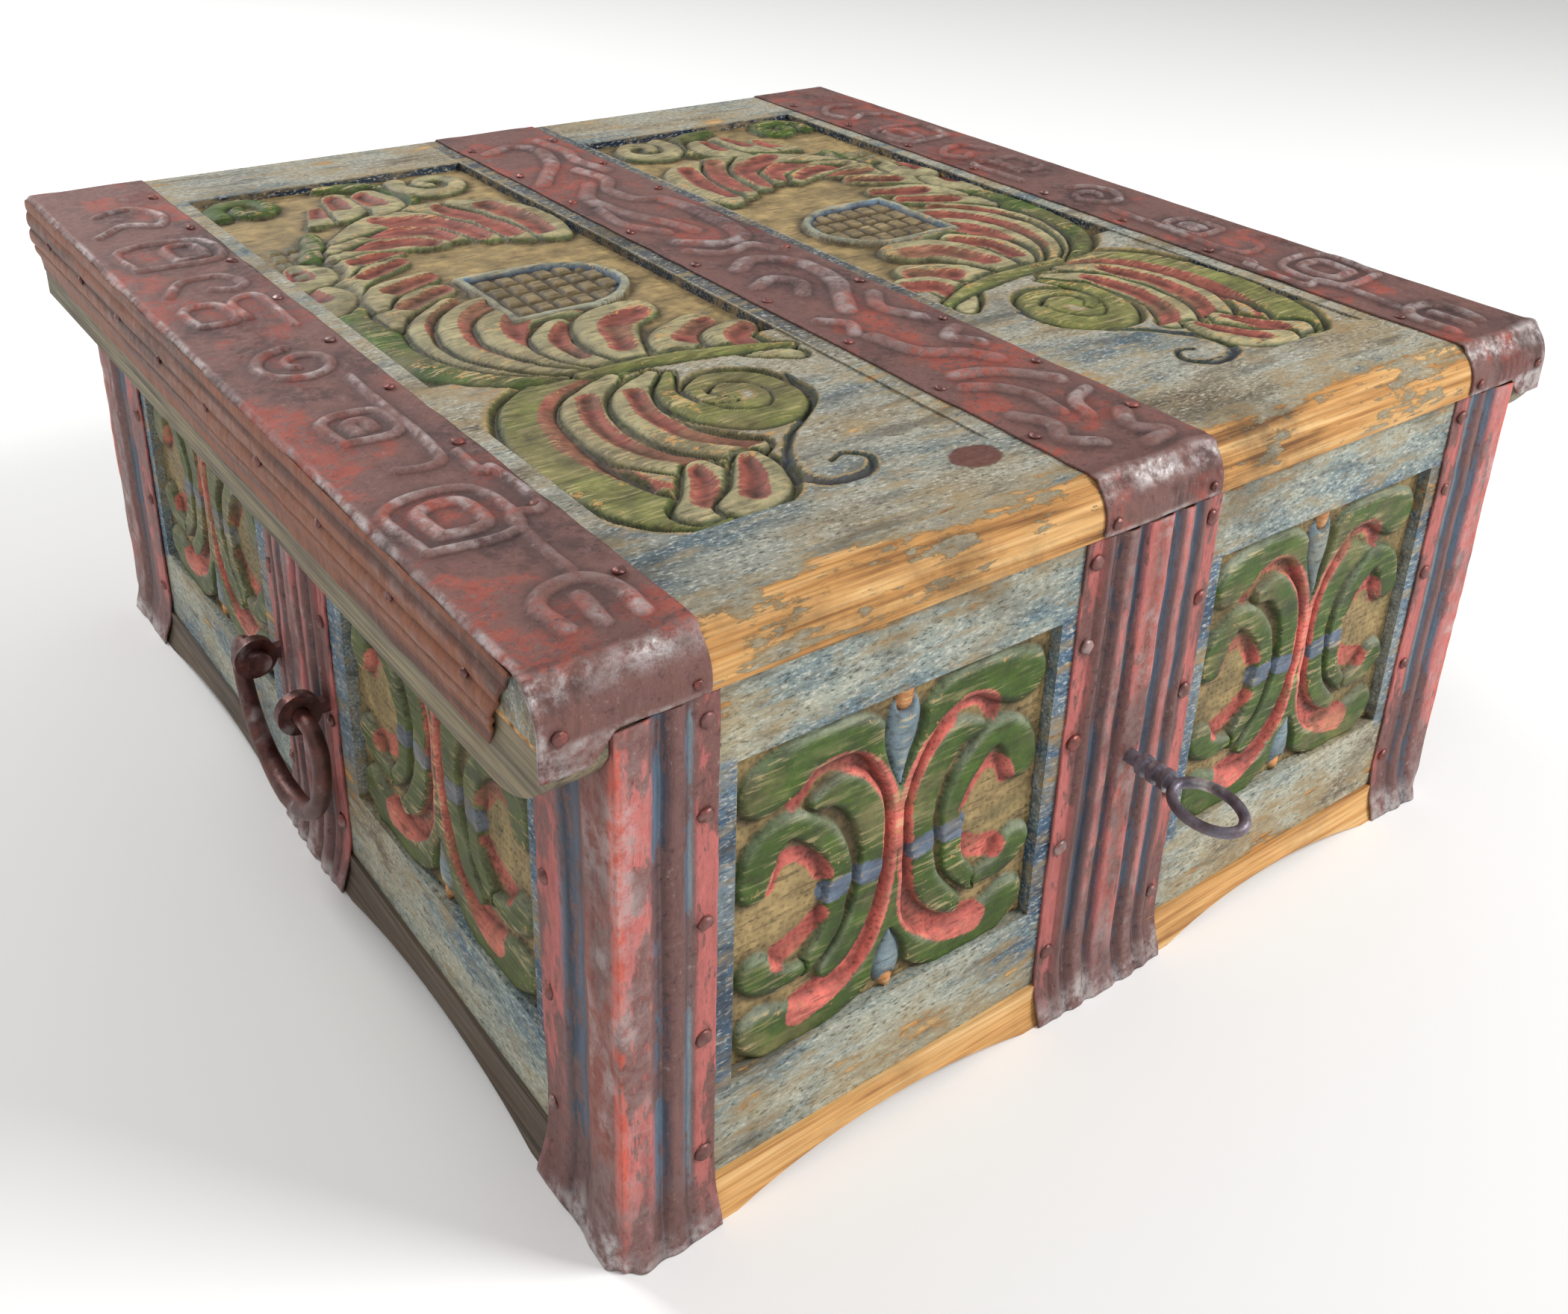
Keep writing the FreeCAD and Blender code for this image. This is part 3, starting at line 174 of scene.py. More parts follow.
class Sheet:
    # a flat grid mesh whose points are laid out as rows and columns
    def __init__(self, name, columns, rows):
        bm = bmesh.new()
        bmesh.ops.create_grid(bm, x_segments=columns, y_segments=rows, size=0.5)
        self.mesh = meshFrom(name, bm)
        self.name = name
        flat = np.empty(len(self.mesh.vertices) * 3)
        self.mesh.vertices.foreach_get("co", flat)
        flat = flat.reshape(-1, 3) + 0.5
        self.column = np.rint(flat[:, 0] * columns).astype(int)
        self.row = np.rint(flat[:, 1] * rows).astype(int)
        self.u, self.v = np.meshgrid(np.arange(columns + 1) / columns, np.arange(rows + 1) / rows)

    def fromRim(self, width, height):
        # distance of each point from the nearest edge of a sheet of that size
        return np.minimum(np.minimum(self.u, 1 - self.u) * width, np.minimum(self.v, 1 - self.v) * height)

    def place(self, x, y, z):
        xyz = np.stack([x, y, z], -1)[self.row, self.column]
        self.mesh.vertices.foreach_set("co", xyz.astype(np.float32).ravel())
        self.mesh.update()

    def colour(self, name, rgb):
        layer = self.mesh.attributes.new(name, "FLOAT_COLOR", "POINT")
        full = np.concatenate([rgb, np.ones(rgb.shape[:2] + (1,))], -1)[self.row, self.column]
        layer.data.foreach_set("color", full.astype(np.float32).ravel())

    def finish(self, material, body, slot, facing, replaced=(), thickness=0.0):
        # facing is the way that the middle of the sheet looks
        if self.mesh.polygons[len(self.mesh.polygons) // 2].normal.dot(Vector(facing)) < 0:
            self.mesh.flip_normals()
        for polygon in self.mesh.polygons:
            polygon.use_smooth = True
        thing = linked(self.name, self.mesh)
        thing.data.materials.append(material)
        if thickness:
            wall = thing.modifiers.new("sheetWall", "SOLIDIFY")
            wall.thickness = thickness
            wall.offset = -1
        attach(thing, body)
        if replaced:
            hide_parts(*replaced)


# material tools
def newMaterial(name):
    material = bpy.data.materials.new(name)
    material.use_nodes = True
    tree = material.node_tree
    tree.nodes.clear()
    output = tree.nodes.new("ShaderNodeOutputMaterial")
    shader = tree.nodes.new("ShaderNodeBsdfPrincipled")
    tree.links.new(shader.outputs["BSDF"], output.inputs["Surface"])
    return material, tree, shader


def feed(tree, socket, value):
    if isinstance(value, bpy.types.NodeSocket):
        tree.links.new(value, socket)
    elif isinstance(value, (int, float)):
        socket.default_value = value
    else:
        socket.default_value = (*[float(part) for part in value], 1.0)[:len(socket.default_value)]


def objectPlace(tree, scale=(1, 1, 1), shift=(0, 0, 0)):
    coordinate = tree.nodes.new("ShaderNodeTexCoord")
    mapping = tree.nodes.new("ShaderNodeMapping")
    mapping.inputs["Scale"].default_value = scale
    mapping.inputs["Location"].default_value = shift
    tree.links.new(coordinate.outputs["Object"], mapping.inputs["Vector"])
    return mapping.outputs["Vector"]


def placeParts(tree):
    coordinate = tree.nodes.new("ShaderNodeTexCoord")
    split = tree.nodes.new("ShaderNodeSeparateXYZ")
    tree.links.new(coordinate.outputs["Object"], split.inputs["Vector"])
    return split.outputs


def noise(tree, place, scale, detail=5.0, rough=0.55, bend=0.0):
    node = tree.nodes.new("ShaderNodeTexNoise")
    tree.links.new(place, node.inputs["Vector"])
    for name, value in (("Scale", scale), ("Detail", detail), ("Roughness", rough), ("Distortion", bend)):
        node.inputs[name].default_value = value
    return node.outputs[0]


def ramp(tree, value, stops):
    node = tree.nodes.new("ShaderNodeValToRGB")
    tree.links.new(value, node.inputs["Fac"])
    parts = node.color_ramp.elements
    while len(parts) < len(stops):
        parts.new(0.5)
    for part, (where, colour) in zip(parts, stops):
        part.position = where
        part.color = (colour,) * 3 + (1,) if isinstance(colour, (int, float)) else (*colour, 1)
    return node.outputs["Color"]


def mixed(tree, share, first, second, blend="MIX"):
    node = tree.nodes.new("ShaderNodeMix")
    node.data_type = "RGBA"
    node.blend_type = blend
    feed(tree, node.inputs[0], share)
    feed(tree, node.inputs[6], first)
    feed(tree, node.inputs[7], second)
    return node.outputs[2]


def calc(tree, operation, first, second=0.0):
    node = tree.nodes.new("ShaderNodeMath")
    node.operation = operation
    for socket, value in zip(node.inputs, (first, second)):
        feed(tree, socket, value)
    return node.outputs[0]


def added(tree, *values):
    return reduce(lambda first, second: calc(tree, "ADD", first, second), values)


def product(tree, *values):
    return reduce(lambda first, second: calc(tree, "MULTIPLY", first, second), values)


def weighted(tree, *pairs):
    # sum of values, each times its weight
    return added(tree, *[product(tree, value, weight) for value, weight in pairs])


def drawnOut(grain, across, along):
    # scale of a pattern that is drawn out along the grain
    return [along if axis == grain else across for axis in range(3)]


def spread(tree, value, low, high, first=0.0, second=1.0):
    node = tree.nodes.new("ShaderNodeMapRange")
    node.interpolation_type = "SMOOTHSTEP"
    feed(tree, node.inputs["Value"], value)
    for name, number in (("From Min", low), ("From Max", high), ("To Min", first), ("To Max", second)):
        node.inputs[name].default_value = number
    return node.outputs["Result"]


def attribute(tree, name):
    node = tree.nodes.new("ShaderNodeAttribute")
    node.attribute_name = name
    return node.outputs["Color"]


def threeParts(tree, colour):
    node = tree.nodes.new("ShaderNodeSeparateColor")
    tree.links.new(colour, node.inputs["Color"])
    return node.outputs


def bumped(tree, shader, height, strength, depth):
    node = tree.nodes.new("ShaderNodeBump")
    node.inputs["Strength"].default_value = strength
    node.inputs["Distance"].default_value = depth
    tree.links.new(height, node.inputs["Height"])
    tree.links.new(node.outputs["Normal"], shader.inputs["Normal"])


# paints and finishes, as seen under plain light
paints = {
    "leafGreen": srgb(62, 86, 26), "oldGreen": srgb(112, 114, 62), "paleLeaf": srgb(156, 148, 112),
    "rose": srgb(190, 106, 100), "salmon": srgb(206, 108, 96), "madder": srgb(150, 82, 70),
    "blue": srgb(98, 120, 140), "deepBlue": srgb(56, 68, 86), "ground": srgb(152, 130, 88),
    "ochre": srgb(214, 146, 90), "grime": srgb(34, 27, 20), "greyGreen": srgb(146, 148, 130),
    "slate": srgb(120, 138, 146), "iron": srgb(118, 84, 80), "ironDark": srgb(54, 40, 40),
    "silver": srgb(214, 208, 206), "arrisRedAndHighlight": srgb(204, 92, 74), "ironBlue": srgb(94, 108, 126),
    "umber": srgb(136, 76, 40), "rust": srgb(134, 70, 58),
}


def distemper(tree, grain, bareMask, tones, blueMask=None, blues=None):
    # old paint over pine: crazed, rubbed thin, sooty, and chipped to the wood along the grain
    place = objectPlace(tree)
    wood, rings = grainColours(tree, grain, srgb(116, 74, 40), srgb(206, 152, 90), srgb(236, 194, 134))[:2]
    drawn = objectPlace(tree, drawnOut(grain, 1.0, 0.4))
    tone = noise(tree, drawn, 22, 7, 0.62)
    paint = ramp(tree, tone, tones)
    if blueMask:
        paint = mixed(tree, blueMask(tree), paint, ramp(tree, tone, blues))
    craze = noise(tree, drawn, 760, 6, 0.75)
    paint = mixed(tree, spread(tree, craze, 0.53, 0.62, 0, 0.7), paint, srgb(212, 208, 194))
    paint = mixed(tree, spread(tree, craze, 0.47, 0.37, 0, 0.8), paint, srgb(50, 46, 40))
    streak = noise(tree, objectPlace(tree, drawnOut(grain, 140.0, 30.0), (3.1, 1.7, 5.3)), 1.0, 10, 0.72)
    wear = weighted(tree, (streak, 0.6), (noise(tree, place, 24, 5, 0.6), 0.4))
    wear = added(tree, wear, bareMask(tree))
    gone = spread(tree, wear, 0.595, 0.62)
    colour = mixed(tree, spread(tree, wear, 0.48, 0.60, 0, 0.75), paint, srgb(158, 138, 102))
    soot = noise(tree, objectPlace(tree, drawnOut(grain, 1.0, 0.2), (2.3, 4.1, 0.7)), 90, 8, 0.7)
    colour = mixed(tree, spread(tree, soot, 0.52, 0.66, 0, 0.6), colour, srgb(74, 72, 66))
    colour = mixed(tree, gone, colour, wood)
    grime = spread(tree, noise(tree, place, 13, 8, 0.66), 0.50, 0.74, 0, 0.7)
    colour = mixed(tree, grime, colour, srgb(62, 54, 42))
    height = weighted(tree, (gone, -0.7), (rings, 0.35), (craze, 0.6))
    return colour, gone, height


wallTones = [
    (0.34, srgb(78, 108, 128)), (0.43, srgb(124, 140, 140)), (0.52, srgb(164, 168, 154)),
    (0.62, srgb(176, 170, 146)), (0.70, srgb(132, 118, 94)),
]
wallBlues = [(0.35, srgb(42, 70, 98)), (0.5, srgb(70, 104, 132)), (0.66, srgb(116, 136, 148))]
lidTones = [
    (0.34, srgb(84, 104, 114)), (0.42, srgb(124, 130, 124)), (0.50, srgb(160, 158, 144)),
    (0.60, srgb(146, 136, 114)), (0.70, srgb(104, 90, 70)),
]
# near-black blues of the lid: blue paint darkened as painted shade in the reveals
lidShadedBlues = [(0.35, srgb(16, 28, 44)), (0.5, srgb(28, 48, 70)), (0.66, srgb(54, 68, 80))]


def carvedPaint(name, grain):
    # paint on carving: rubbed along the grain on the crests, chipped, and darkened in the grooves with grime
    # and painted shade, with the plain board's finish where the face is still flush
    material, tree, shader = newMaterial(name)
    place = objectPlace(tree)
    wear, grooveGrimeAndShade, plain = threeParts(tree, attribute(tree, "marks"))
    mottle = ramp(tree, noise(tree, place, 70, 9, 0.72), [(0.28, 0.4), (0.5, 1.0), (0.72, 1.7)])
    colour = mixed(tree, 1.0, attribute(tree, "paint"), mottle, "MULTIPLY")
    lines = noise(tree, objectPlace(tree, drawnOut(grain, 620.0, 60.0)), 1.0, 5, 0.6)
    rubbed = product(tree, spread(tree, lines, 0.53, 0.63), product(tree, wear, 0.75))
    colour = mixed(tree, rubbed, colour, srgb(210, 188, 142))
    colour = mixed(tree, spread(tree, lines, 0.46, 0.34, 0, 0.55), colour, srgb(58, 48, 34))
    haze = spread(tree, noise(tree, place, 34, 8, 0.66), 0.52, 0.70, 0, 0.3)
    colour = mixed(tree, haze, colour, srgb(118, 104, 76))
    chips = added(tree, noise(tree, place, 300, 10, 0.74), product(tree, wear, 0.14))
    colour = mixed(tree, spread(tree, chips, 0.68, 0.71, 0, 0.85), colour, srgb(202, 152, 90))
    # grooves darkened towards grime colour: grime and painted shade
    dirt = product(tree, grooveGrimeAndShade, spread(tree, noise(tree, place, 160, 5), 0.25, 0.7, 0.4, 0.85))
    colour = mixed(tree, dirt, colour, paints["grime"])
    board = distemper(tree, grain, noWear, lidTones)[0]
    colour = mixed(tree, plain, colour, board)
    tree.links.new(colour, shader.inputs["Base Color"])
    gloss = ramp(tree, noise(tree, place, 140, 5), [(0.3, 0.36), (0.75, 0.6)])
    tree.links.new(gloss, shader.inputs["Roughness"])
    shader.inputs["Specular IOR Level"].default_value = 0.28
    grit = added(tree, noise(tree, place, 420, 7, 0.72), product(tree, chips, -0.4),
                 product(tree, lines, 0.35))
    bumped(tree, shader, grit, 0.5, 0.0011)
    return material


def paintedIron():
    # sheet iron: paint from the piece, streaked and flaked down to brown iron, silver where it is rubbed
    material, tree, shader = newMaterial("paintedIron")
    place = objectPlace(tree)
    rubbed, grooveGrimeAndShade, flaked = threeParts(tree, attribute(tree, "marks"))
    fine = noise(tree, objectPlace(tree, (1, 1, 0.3)), 300, 10, 0.76)
    streak = noise(tree, objectPlace(tree, (1, 1, 0.06)), 210, 6, 0.66)
    broad = noise(tree, place, 60, 7, 0.64)
    under = ramp(tree, noise(tree, place, 320, 8, 0.72), [
        (0.30, paints["ironDark"]), (0.46, paints["iron"]), (0.60, srgb(122, 90, 84)),
        (0.72, srgb(164, 150, 144)),
    ])
    shade = ramp(tree, weighted(tree, (fine, 0.5), (streak, 0.5)), [(0.32, 0.5), (0.5, 1.02), (0.68, 1.55)])
    tint = mixed(tree, 1.0, attribute(tree, "paint"), shade, "MULTIPLY")
    loss = weighted(tree, (fine, 0.5), (streak, 0.3), (broad, 0.2), (flaked, 0.13))
    gone = spread(tree, loss, 0.52, 0.59, 0, 0.9)
    colour = mixed(tree, gone, tint, under)
    # grooves darkened: grime and painted shade
    colour = mixed(tree, product(tree, grooveGrimeAndShade, 0.6), colour, srgb(40, 36, 38))
    rub = product(tree, rubbed, spread(tree, noise(tree, place, 120, 9, 0.72), 0.38, 0.62))
    colour = mixed(tree, rub, colour, paints["silver"])
    dust = spread(tree, noise(tree, place, 900, 4, 0.7), 0.60, 0.72, 0, 0.22)
    colour = mixed(tree, dust, colour, srgb(206, 178, 166))
    tree.links.new(colour, shader.inputs["Base Color"])
    bright = calc(tree, "MAXIMUM", product(tree, rub, 0.85), product(tree, gone, 0.35))
    tree.links.new(bright, shader.inputs["Metallic"])
    tree.links.new(spread(tree, bright, 0.0, 0.7, 0.5, 0.34), shader.inputs["Roughness"])
    shader.inputs["Specular IOR Level"].default_value = 0.3
    bumped(tree, shader, weighted(tree, (broad, 1.2), (fine, 0.6), (gone, -0.15)), 0.7, 0.0017)
    return material


def forgedIron(name, base, red, shine):
    # hammered bar iron: dark scale, red rust in patches, brighter where hands rub it
    material, tree, shader = newMaterial(name)
    place = objectPlace(tree)
    scale = noise(tree, place, 85, 7, 0.62)
    colour = ramp(tree, scale, [(0.28, base * 0.55), (0.5, base), (0.74, base * 1.5)])
    rust = spread(tree, noise(tree, place, 130, 6, 0.66), 0.50, 0.68, 0, 0.75)
    colour = mixed(tree, rust, colour, red)
    bright = spread(tree, noise(tree, place, 60, 4, 0.5), 0.56, 0.72, 0, shine)
    colour = mixed(tree, bright, colour, paints["silver"])
    tree.links.new(colour, shader.inputs["Base Color"])
    tree.links.new(spread(tree, scale, 0.3, 0.7, 0.75, 0.45), shader.inputs["Metallic"])
    tree.links.new(ramp(tree, scale, [(0.3, 0.34), (0.7, 0.55)]), shader.inputs["Roughness"])
    bumped(tree, shader, noise(tree, place, 170, 6, 0.6), 0.5, 0.0012)
    return material


def grainColours(tree, grain, dark, mid, light):
    # growth rings stretched along the board
    rings = noise(tree, objectPlace(tree, drawnOut(grain, 240.0, 9.0)), 1.0, 5, 0.55, 0.3)
    fibre = noise(tree, objectPlace(tree, drawnOut(grain, 900.0, 24.0)), 1.0, 3, 0.5)
    colour = ramp(tree, rings, [(0.30, light), (0.52, mid), (0.68, dark), (0.80, mid)])
    colour = mixed(tree, spread(tree, fibre, 0.35, 0.7, 0, 0.4), colour, dark)
    return colour, rings, fibre


def bareWood(name, grain, dark, mid, light, dirt=0.35):
    material, tree, shader = newMaterial(name)
    place = objectPlace(tree)
    colour, rings, fibre = grainColours(tree, grain, dark, mid, light)
    stain = spread(tree, noise(tree, place, 16, 6, 0.6), 0.45, 0.75, 0, dirt)
    colour = mixed(tree, stain, colour, srgb(92, 66, 44))
    tree.links.new(colour, shader.inputs["Base Color"])
    tree.links.new(spread(tree, fibre, 0.2, 0.8, 0.55, 0.8), shader.inputs["Roughness"])
    bumped(tree, shader, added(tree, rings, fibre), 0.5, 0.0008)
    return material


def wornBoard(name, grain, bareMask, tones, blueMask=None, blues=None, stain=None):
    material, tree, shader = newMaterial(name)
    colour, gone, height = distemper(tree, grain, bareMask, tones, blueMask, blues)
    if stain:
        colour = mixed(tree, stain(tree), colour, srgb(92, 42, 36))
    tree.links.new(colour, shader.inputs["Base Color"])
    tree.links.new(spread(tree, gone, 0, 1, 0.5, 0.66), shader.inputs["Roughness"])
    shader.inputs["Specular IOR Level"].default_value = 0.2
    bumped(tree, shader, height, 0.6, 0.0009)
    return material


def noWear(tree):
    # mask of a board that wears alike all over
    return 0.0


ironFinish = paintedIron()
carvingFinish = carvedPaint("carvedPaint", 0)
sideCarvingFinish = carvedPaint("sideCarvedPaint", 1)
print("finishes made")

# carved panels of the walls: strokes of one half as shares, from the middle line outwards and from the
# bottom up, each with its kind, paint, rise and widths in mm
scrollPanel = {
    "ground": -5.0, "floor": -6.9, "rim": 0.4, "pitch": 0.75, "wobble": 1.3, "crest": 3.8,
    "dotPitch": 3.4, "dotDepth": 0.55,
    # dust is the pale for slopes that face up: a painted sky sheen with dust
    "dust": srgb(164, 166, 152), "muted": srgb(112, 100, 66), "worn": srgb(122, 112, 74),
    "strokes": [
        ("roll", "leafGreen", 5.4, [
            (0.80, 0.862, 25), (0.70, 0.884, 24), (0.51, 0.918, 18), (0.25, 0.901, 16), (0.09, 0.789, 12),
            (0.0, 0.635, 9), (0.0, 0.483, 8), (0.02, 0.30, 9), (0.06, 0.195, 11), (0.2, 0.086, 14),
            (0.43, 0.046, 18), (0.67, 0.057, 24), (0.82, 0.10, 22)]),
        ("roll", "leafGreen", 5.0, [
            (0.85, 0.585, 19), (0.81, 0.665, 17), (0.66, 0.718, 13), (0.47, 0.646, 13), (0.37, 0.53, 12),
            (0.38, 0.43, 12), (0.40, 0.342, 11), (0.49, 0.274, 10), (0.56, 0.23, 8)]),
        ("roll", "leafGreen", 4.8, [(0.85, 0.30, 18), (0.80, 0.27, 16), (0.72, 0.245, 12), (0.6, 0.24, 8)]),
        ("roll", "leafGreen", 6.0, [
            (0.51, 0.766, 8), (0.36, 0.767, 15), (0.22, 0.689, 17), (0.16, 0.562, 14), (0.17, 0.453, 13),
            (0.21, 0.341, 13), (0.31, 0.245, 13), (0.42, 0.19, 10)]),
        ("hollow", "salmon", 1.1, [
            (0.63, 0.784, 7.5), (0.53, 0.849, 8), (0.37, 0.854, 9), (0.18, 0.782, 9), (0.06, 0.659, 8),
            (0.05, 0.515, 7.5), (0.07, 0.37, 8), (0.13, 0.253, 11), (0.26, 0.166, 12), (0.42, 0.117, 14),
            (0.58, 0.098, 14)]),
        ("hollow", "salmon", 0.9, [
            (0.77, 0.536, 6), (0.71, 0.603, 7), (0.60, 0.61, 7), (0.51, 0.564, 7), (0.46, 0.52, 7)]),
        ("hollow", "salmon", 0.9, [(0.70, 0.316, 11), (0.56, 0.345, 10), (0.47, 0.39, 6)]),
        ("tie", "ironBlue", 1.0, [(0.14, 0.455, 10), (0.21, 0.462, 10)]),
        ("tie", "ironBlue", 1.0, [(0.34, 0.462, 10), (0.43, 0.455, 10)]),
        ("bud", "slate", 3.0, [(0.0, 0.70, 2), (0.0, 0.80, 11), (0.0, 0.88, 17), (0.0, 0.915, 15)]),
        ("bud", "ochre", 2.6, [(0.0, 0.945, 8), (0.0, 0.985, 9)]),
        ("bud", "slate", 3.0, [(0.0, 0.215, 3), (0.0, 0.15, 11), (0.0, 0.09, 14), (0.0, 0.05, 9)]),
        ("bud", "ochre", 2.2, [(0.0, 0.035, 7), (0.0, 0.01, 3)]),
    ],
}
# how a raised stroke is cut: the higher the power, the flatter its top
chisel = {"leafPower": 4.0, "rollPower": 2.2, "shoulder": 0.65, "cutRise": 1.0, "cutWidth": 0.4}


def carve(kind, rise, share, height, ground):
    # how one stroke changes the height, and where it shows
    inside = share < 1
    if kind == "hollow":
        return height - rise * (1 - share ** 2) * inside, inside
    if kind == "tie":
        return height + rise * smoothStep(1.0, 0.75, share), inside
    # a roll, bud or leaf: its own top, with a cut round it that parts it from what was there
    flat = chisel["leafPower"] if kind == "leaf" else chisel["rollPower"]
    top = ground + rise * np.clip(1 - share ** flat, 0, 1) ** chisel["shoulder"]
    cut = ground + (rise + chisel["cutRise"]) * np.clip((share - 1) / chisel["cutWidth"], 0, 1)
    return np.where(inside, top, np.minimum(height, cut)), inside


def punchedDots(x, y, pitch, seed):
    # ground stippled with a punch, each dot a little off its place
    cells = 97
    shift = np.random.default_rng(seed).uniform(-0.3, 0.3, (2, cells, cells))
    column, row = np.floor(x / pitch).astype(int), np.floor(y / pitch).astype(int)
    dx = x / pitch - column - 0.5 - shift[0][row % cells, column % cells]
    dy = y / pitch - row - 0.5 - shift[1][row % cells, column % cells]
    return smoothStep(0.32, 0.12, np.hypot(dx, dy))


def carvedMarks(height, crown, seed, x, y):
    # wear on what stands proud, grime and painted shade in the grooves, no plain board yet
    grooveGrimeAndShade = np.clip((blurred(height, 4) - height) / 1.5, 0, 0.8)
    ridge = np.clip((height - blurred(height, 7)) / 1.2, 0, 1)
    patchy = 0.5 + 0.5 * smoothNoise(x, y, 26, seed + 3)
    wear = np.clip(ridge * patchy + crown, 0, 1)
    return np.stack([wear, grooveGrimeAndShade, np.zeros_like(wear)], -1)


def makeScrollPanel(name, span, rise, seed, toWorld, facing, mute):
    # span and rise in mm; toWorld turns along, out and up (mm) into the frame
    p = scrollPanel
    sheet = Sheet(name, int(span / p["pitch"]), int(rise / p["pitch"]))
    x = (sheet.u - 0.5) * span
    y = sheet.v * rise
    wx = x + p["wobble"] * smoothNoise(x, y, 34, seed) + 0.4 * smoothNoise(x, y, 9, seed + 1)
    wy = y + p["wobble"] * smoothNoise(x, y, 31, seed + 2)
    ground = p["ground"] + 0.25 * smoothNoise(x, y, 8, seed + 4)
    height = ground - p["dotDepth"] * punchedDots(wx, wy, p["dotPitch"], seed)
    paint = np.broadcast_to(paints["ground"], x.shape + (3,)).copy()
    for kind, tint, lift, points in p["strokes"]:
        real = [(u * span / 2, v * rise, w) for u, v, w in points]
        share = strokeShare(real, np.abs(wx), wy)
        height, shown = carve(kind, lift, share, height, ground)
        paint[shown] = paints[tint]
    # thin paint on the tops of the green rolls; paler on slopes that look up, a painted sky sheen with dust;
    # painted shade under them
    crest = np.clip((height - p["ground"] - p["crest"]) / 2.0, 0, 1)
    crest = crest * (0.5 + 0.5 * smoothNoise(x, y, 18, seed + 6))
    green = (paint == paints["leafGreen"]).all(-1)
    paint[green] = toward(paint, paints["oldGreen"], np.clip(crest, 0, 0.8))[green]
    slope = np.gradient(blurred(height, 2), p["pitch"], axis=0)
    skySheenAndDust = np.clip(-0.9 * slope, 0, 0.5) * (0.6 + 0.4 * smoothNoise(x, y, 15, seed + 8))
    paint = toward(paint, p["dust"], 1.2 * skySheenAndDust * green)
    # darker on slopes that face down: painted shade
    paint = paint * (1 - np.clip(1.1 * slope, 0, 0.62))[..., None]
    paint = toward(paint, p["muted"], mute)
    worn = smoothStep(0.25, 0.8, layeredNoise(x * 0.6, y, 30, seed + 9))
    paint = toward(paint, p["worn"], 0.5 * worn)
    height = height + 0.12 * smoothNoise(x, y, 3, seed + 5)
    marks = carvedMarks(height, 0.0, seed, x, y)
    height = np.where(sheet.fromRim(span, rise) < p["rim"], p["floor"], height)
    sheet.place(*toWorld(x, height, y))
    sheet.colour("paint", paint)
    sheet.colour("marks", marks)
    finish = carvingFinish if facing[0] == 0 else sideCarvingFinish
    sheet.finish(finish, "chest", "painted_carved_wood", facing)


fields = {"bottom": 63.0, "height": 143.5, "margin": 8.0, "sideStrip": 15.0}


def makeScrollPanels():
    low = fields["bottom"] * mm
    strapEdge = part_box("front_lock_strap")[1].x / mm
    ironEdge = -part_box("front_left_corner_iron")[1].x / mm
    inner, outer = strapEdge + fields["margin"], ironEdge - fields["margin"]
    for index, (name, side) in enumerate((("frontLeftPanel", -1), ("frontRightPanel", 1))):
        centre = side * (inner + outer) / 2

        def onFront(along, out, up, centre=centre):
            return (along + centre) * mm, frontY - out * mm, low + up * mm

        makeScrollPanel(name, outer - inner, fields["height"], 11 + index * 20, onFront, (0, -1, 0), 0.0)
    strapEdge = (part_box("left_mid_strap")[1].y - middleY) / mm
    ironEdge = (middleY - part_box("front_left_corner_iron")[1].y) / mm
    inner, outer = strapEdge + fields["sideStrip"], ironEdge - fields["margin"]
    index = 0
    for wall, turn in (("left", -1), ("right", 1)):
        for end, side in (("Front", -1), ("Back", 1)):
            centre = side * (inner + outer) / 2

            def onSide(along, out, up, centre=centre, turn=turn):
                z = low + up * mm
                return turn * (sideX + out * mm), middleY + (centre + turn * along) * mm, z

            makeScrollPanel(f"{wall}{end}Panel", outer - inner, fields["height"], 61 + index * 20, onSide,
                            (turn, 0, 0), 0.25)
            index += 1


makeScrollPanels()
print("wall panels carved")

# carved lid fields: left field seen from above; x from the field's left edge, y from its front edge
lidCarving = {
    "ground": -4.6, "floor": -4.95, "rim": 0.5, "pitch": 0.9, "rise": 1.22, "scoop": 0.2,
    "front": 56.0, "length": 462.0, "drawn": 452.0, "margin": 9.0, "dotPitch": 4.2, "dotDepth": 0.5,
    "flush": -0.15, "flushStart": 158.0, "flushEnd": 146.0, "flushSlant": 0.12, "flushMiddle": 80.0,
    "widen": {"leaf": 2.1, "roll": 1.35, "hollow": 1.35, "tie": 1.0}, "hollow": 0.5, "hollowDepth": 2.3,
}


def paleLeaf(rise, *points):
    return "leaf", "paleLeaf", rise, points


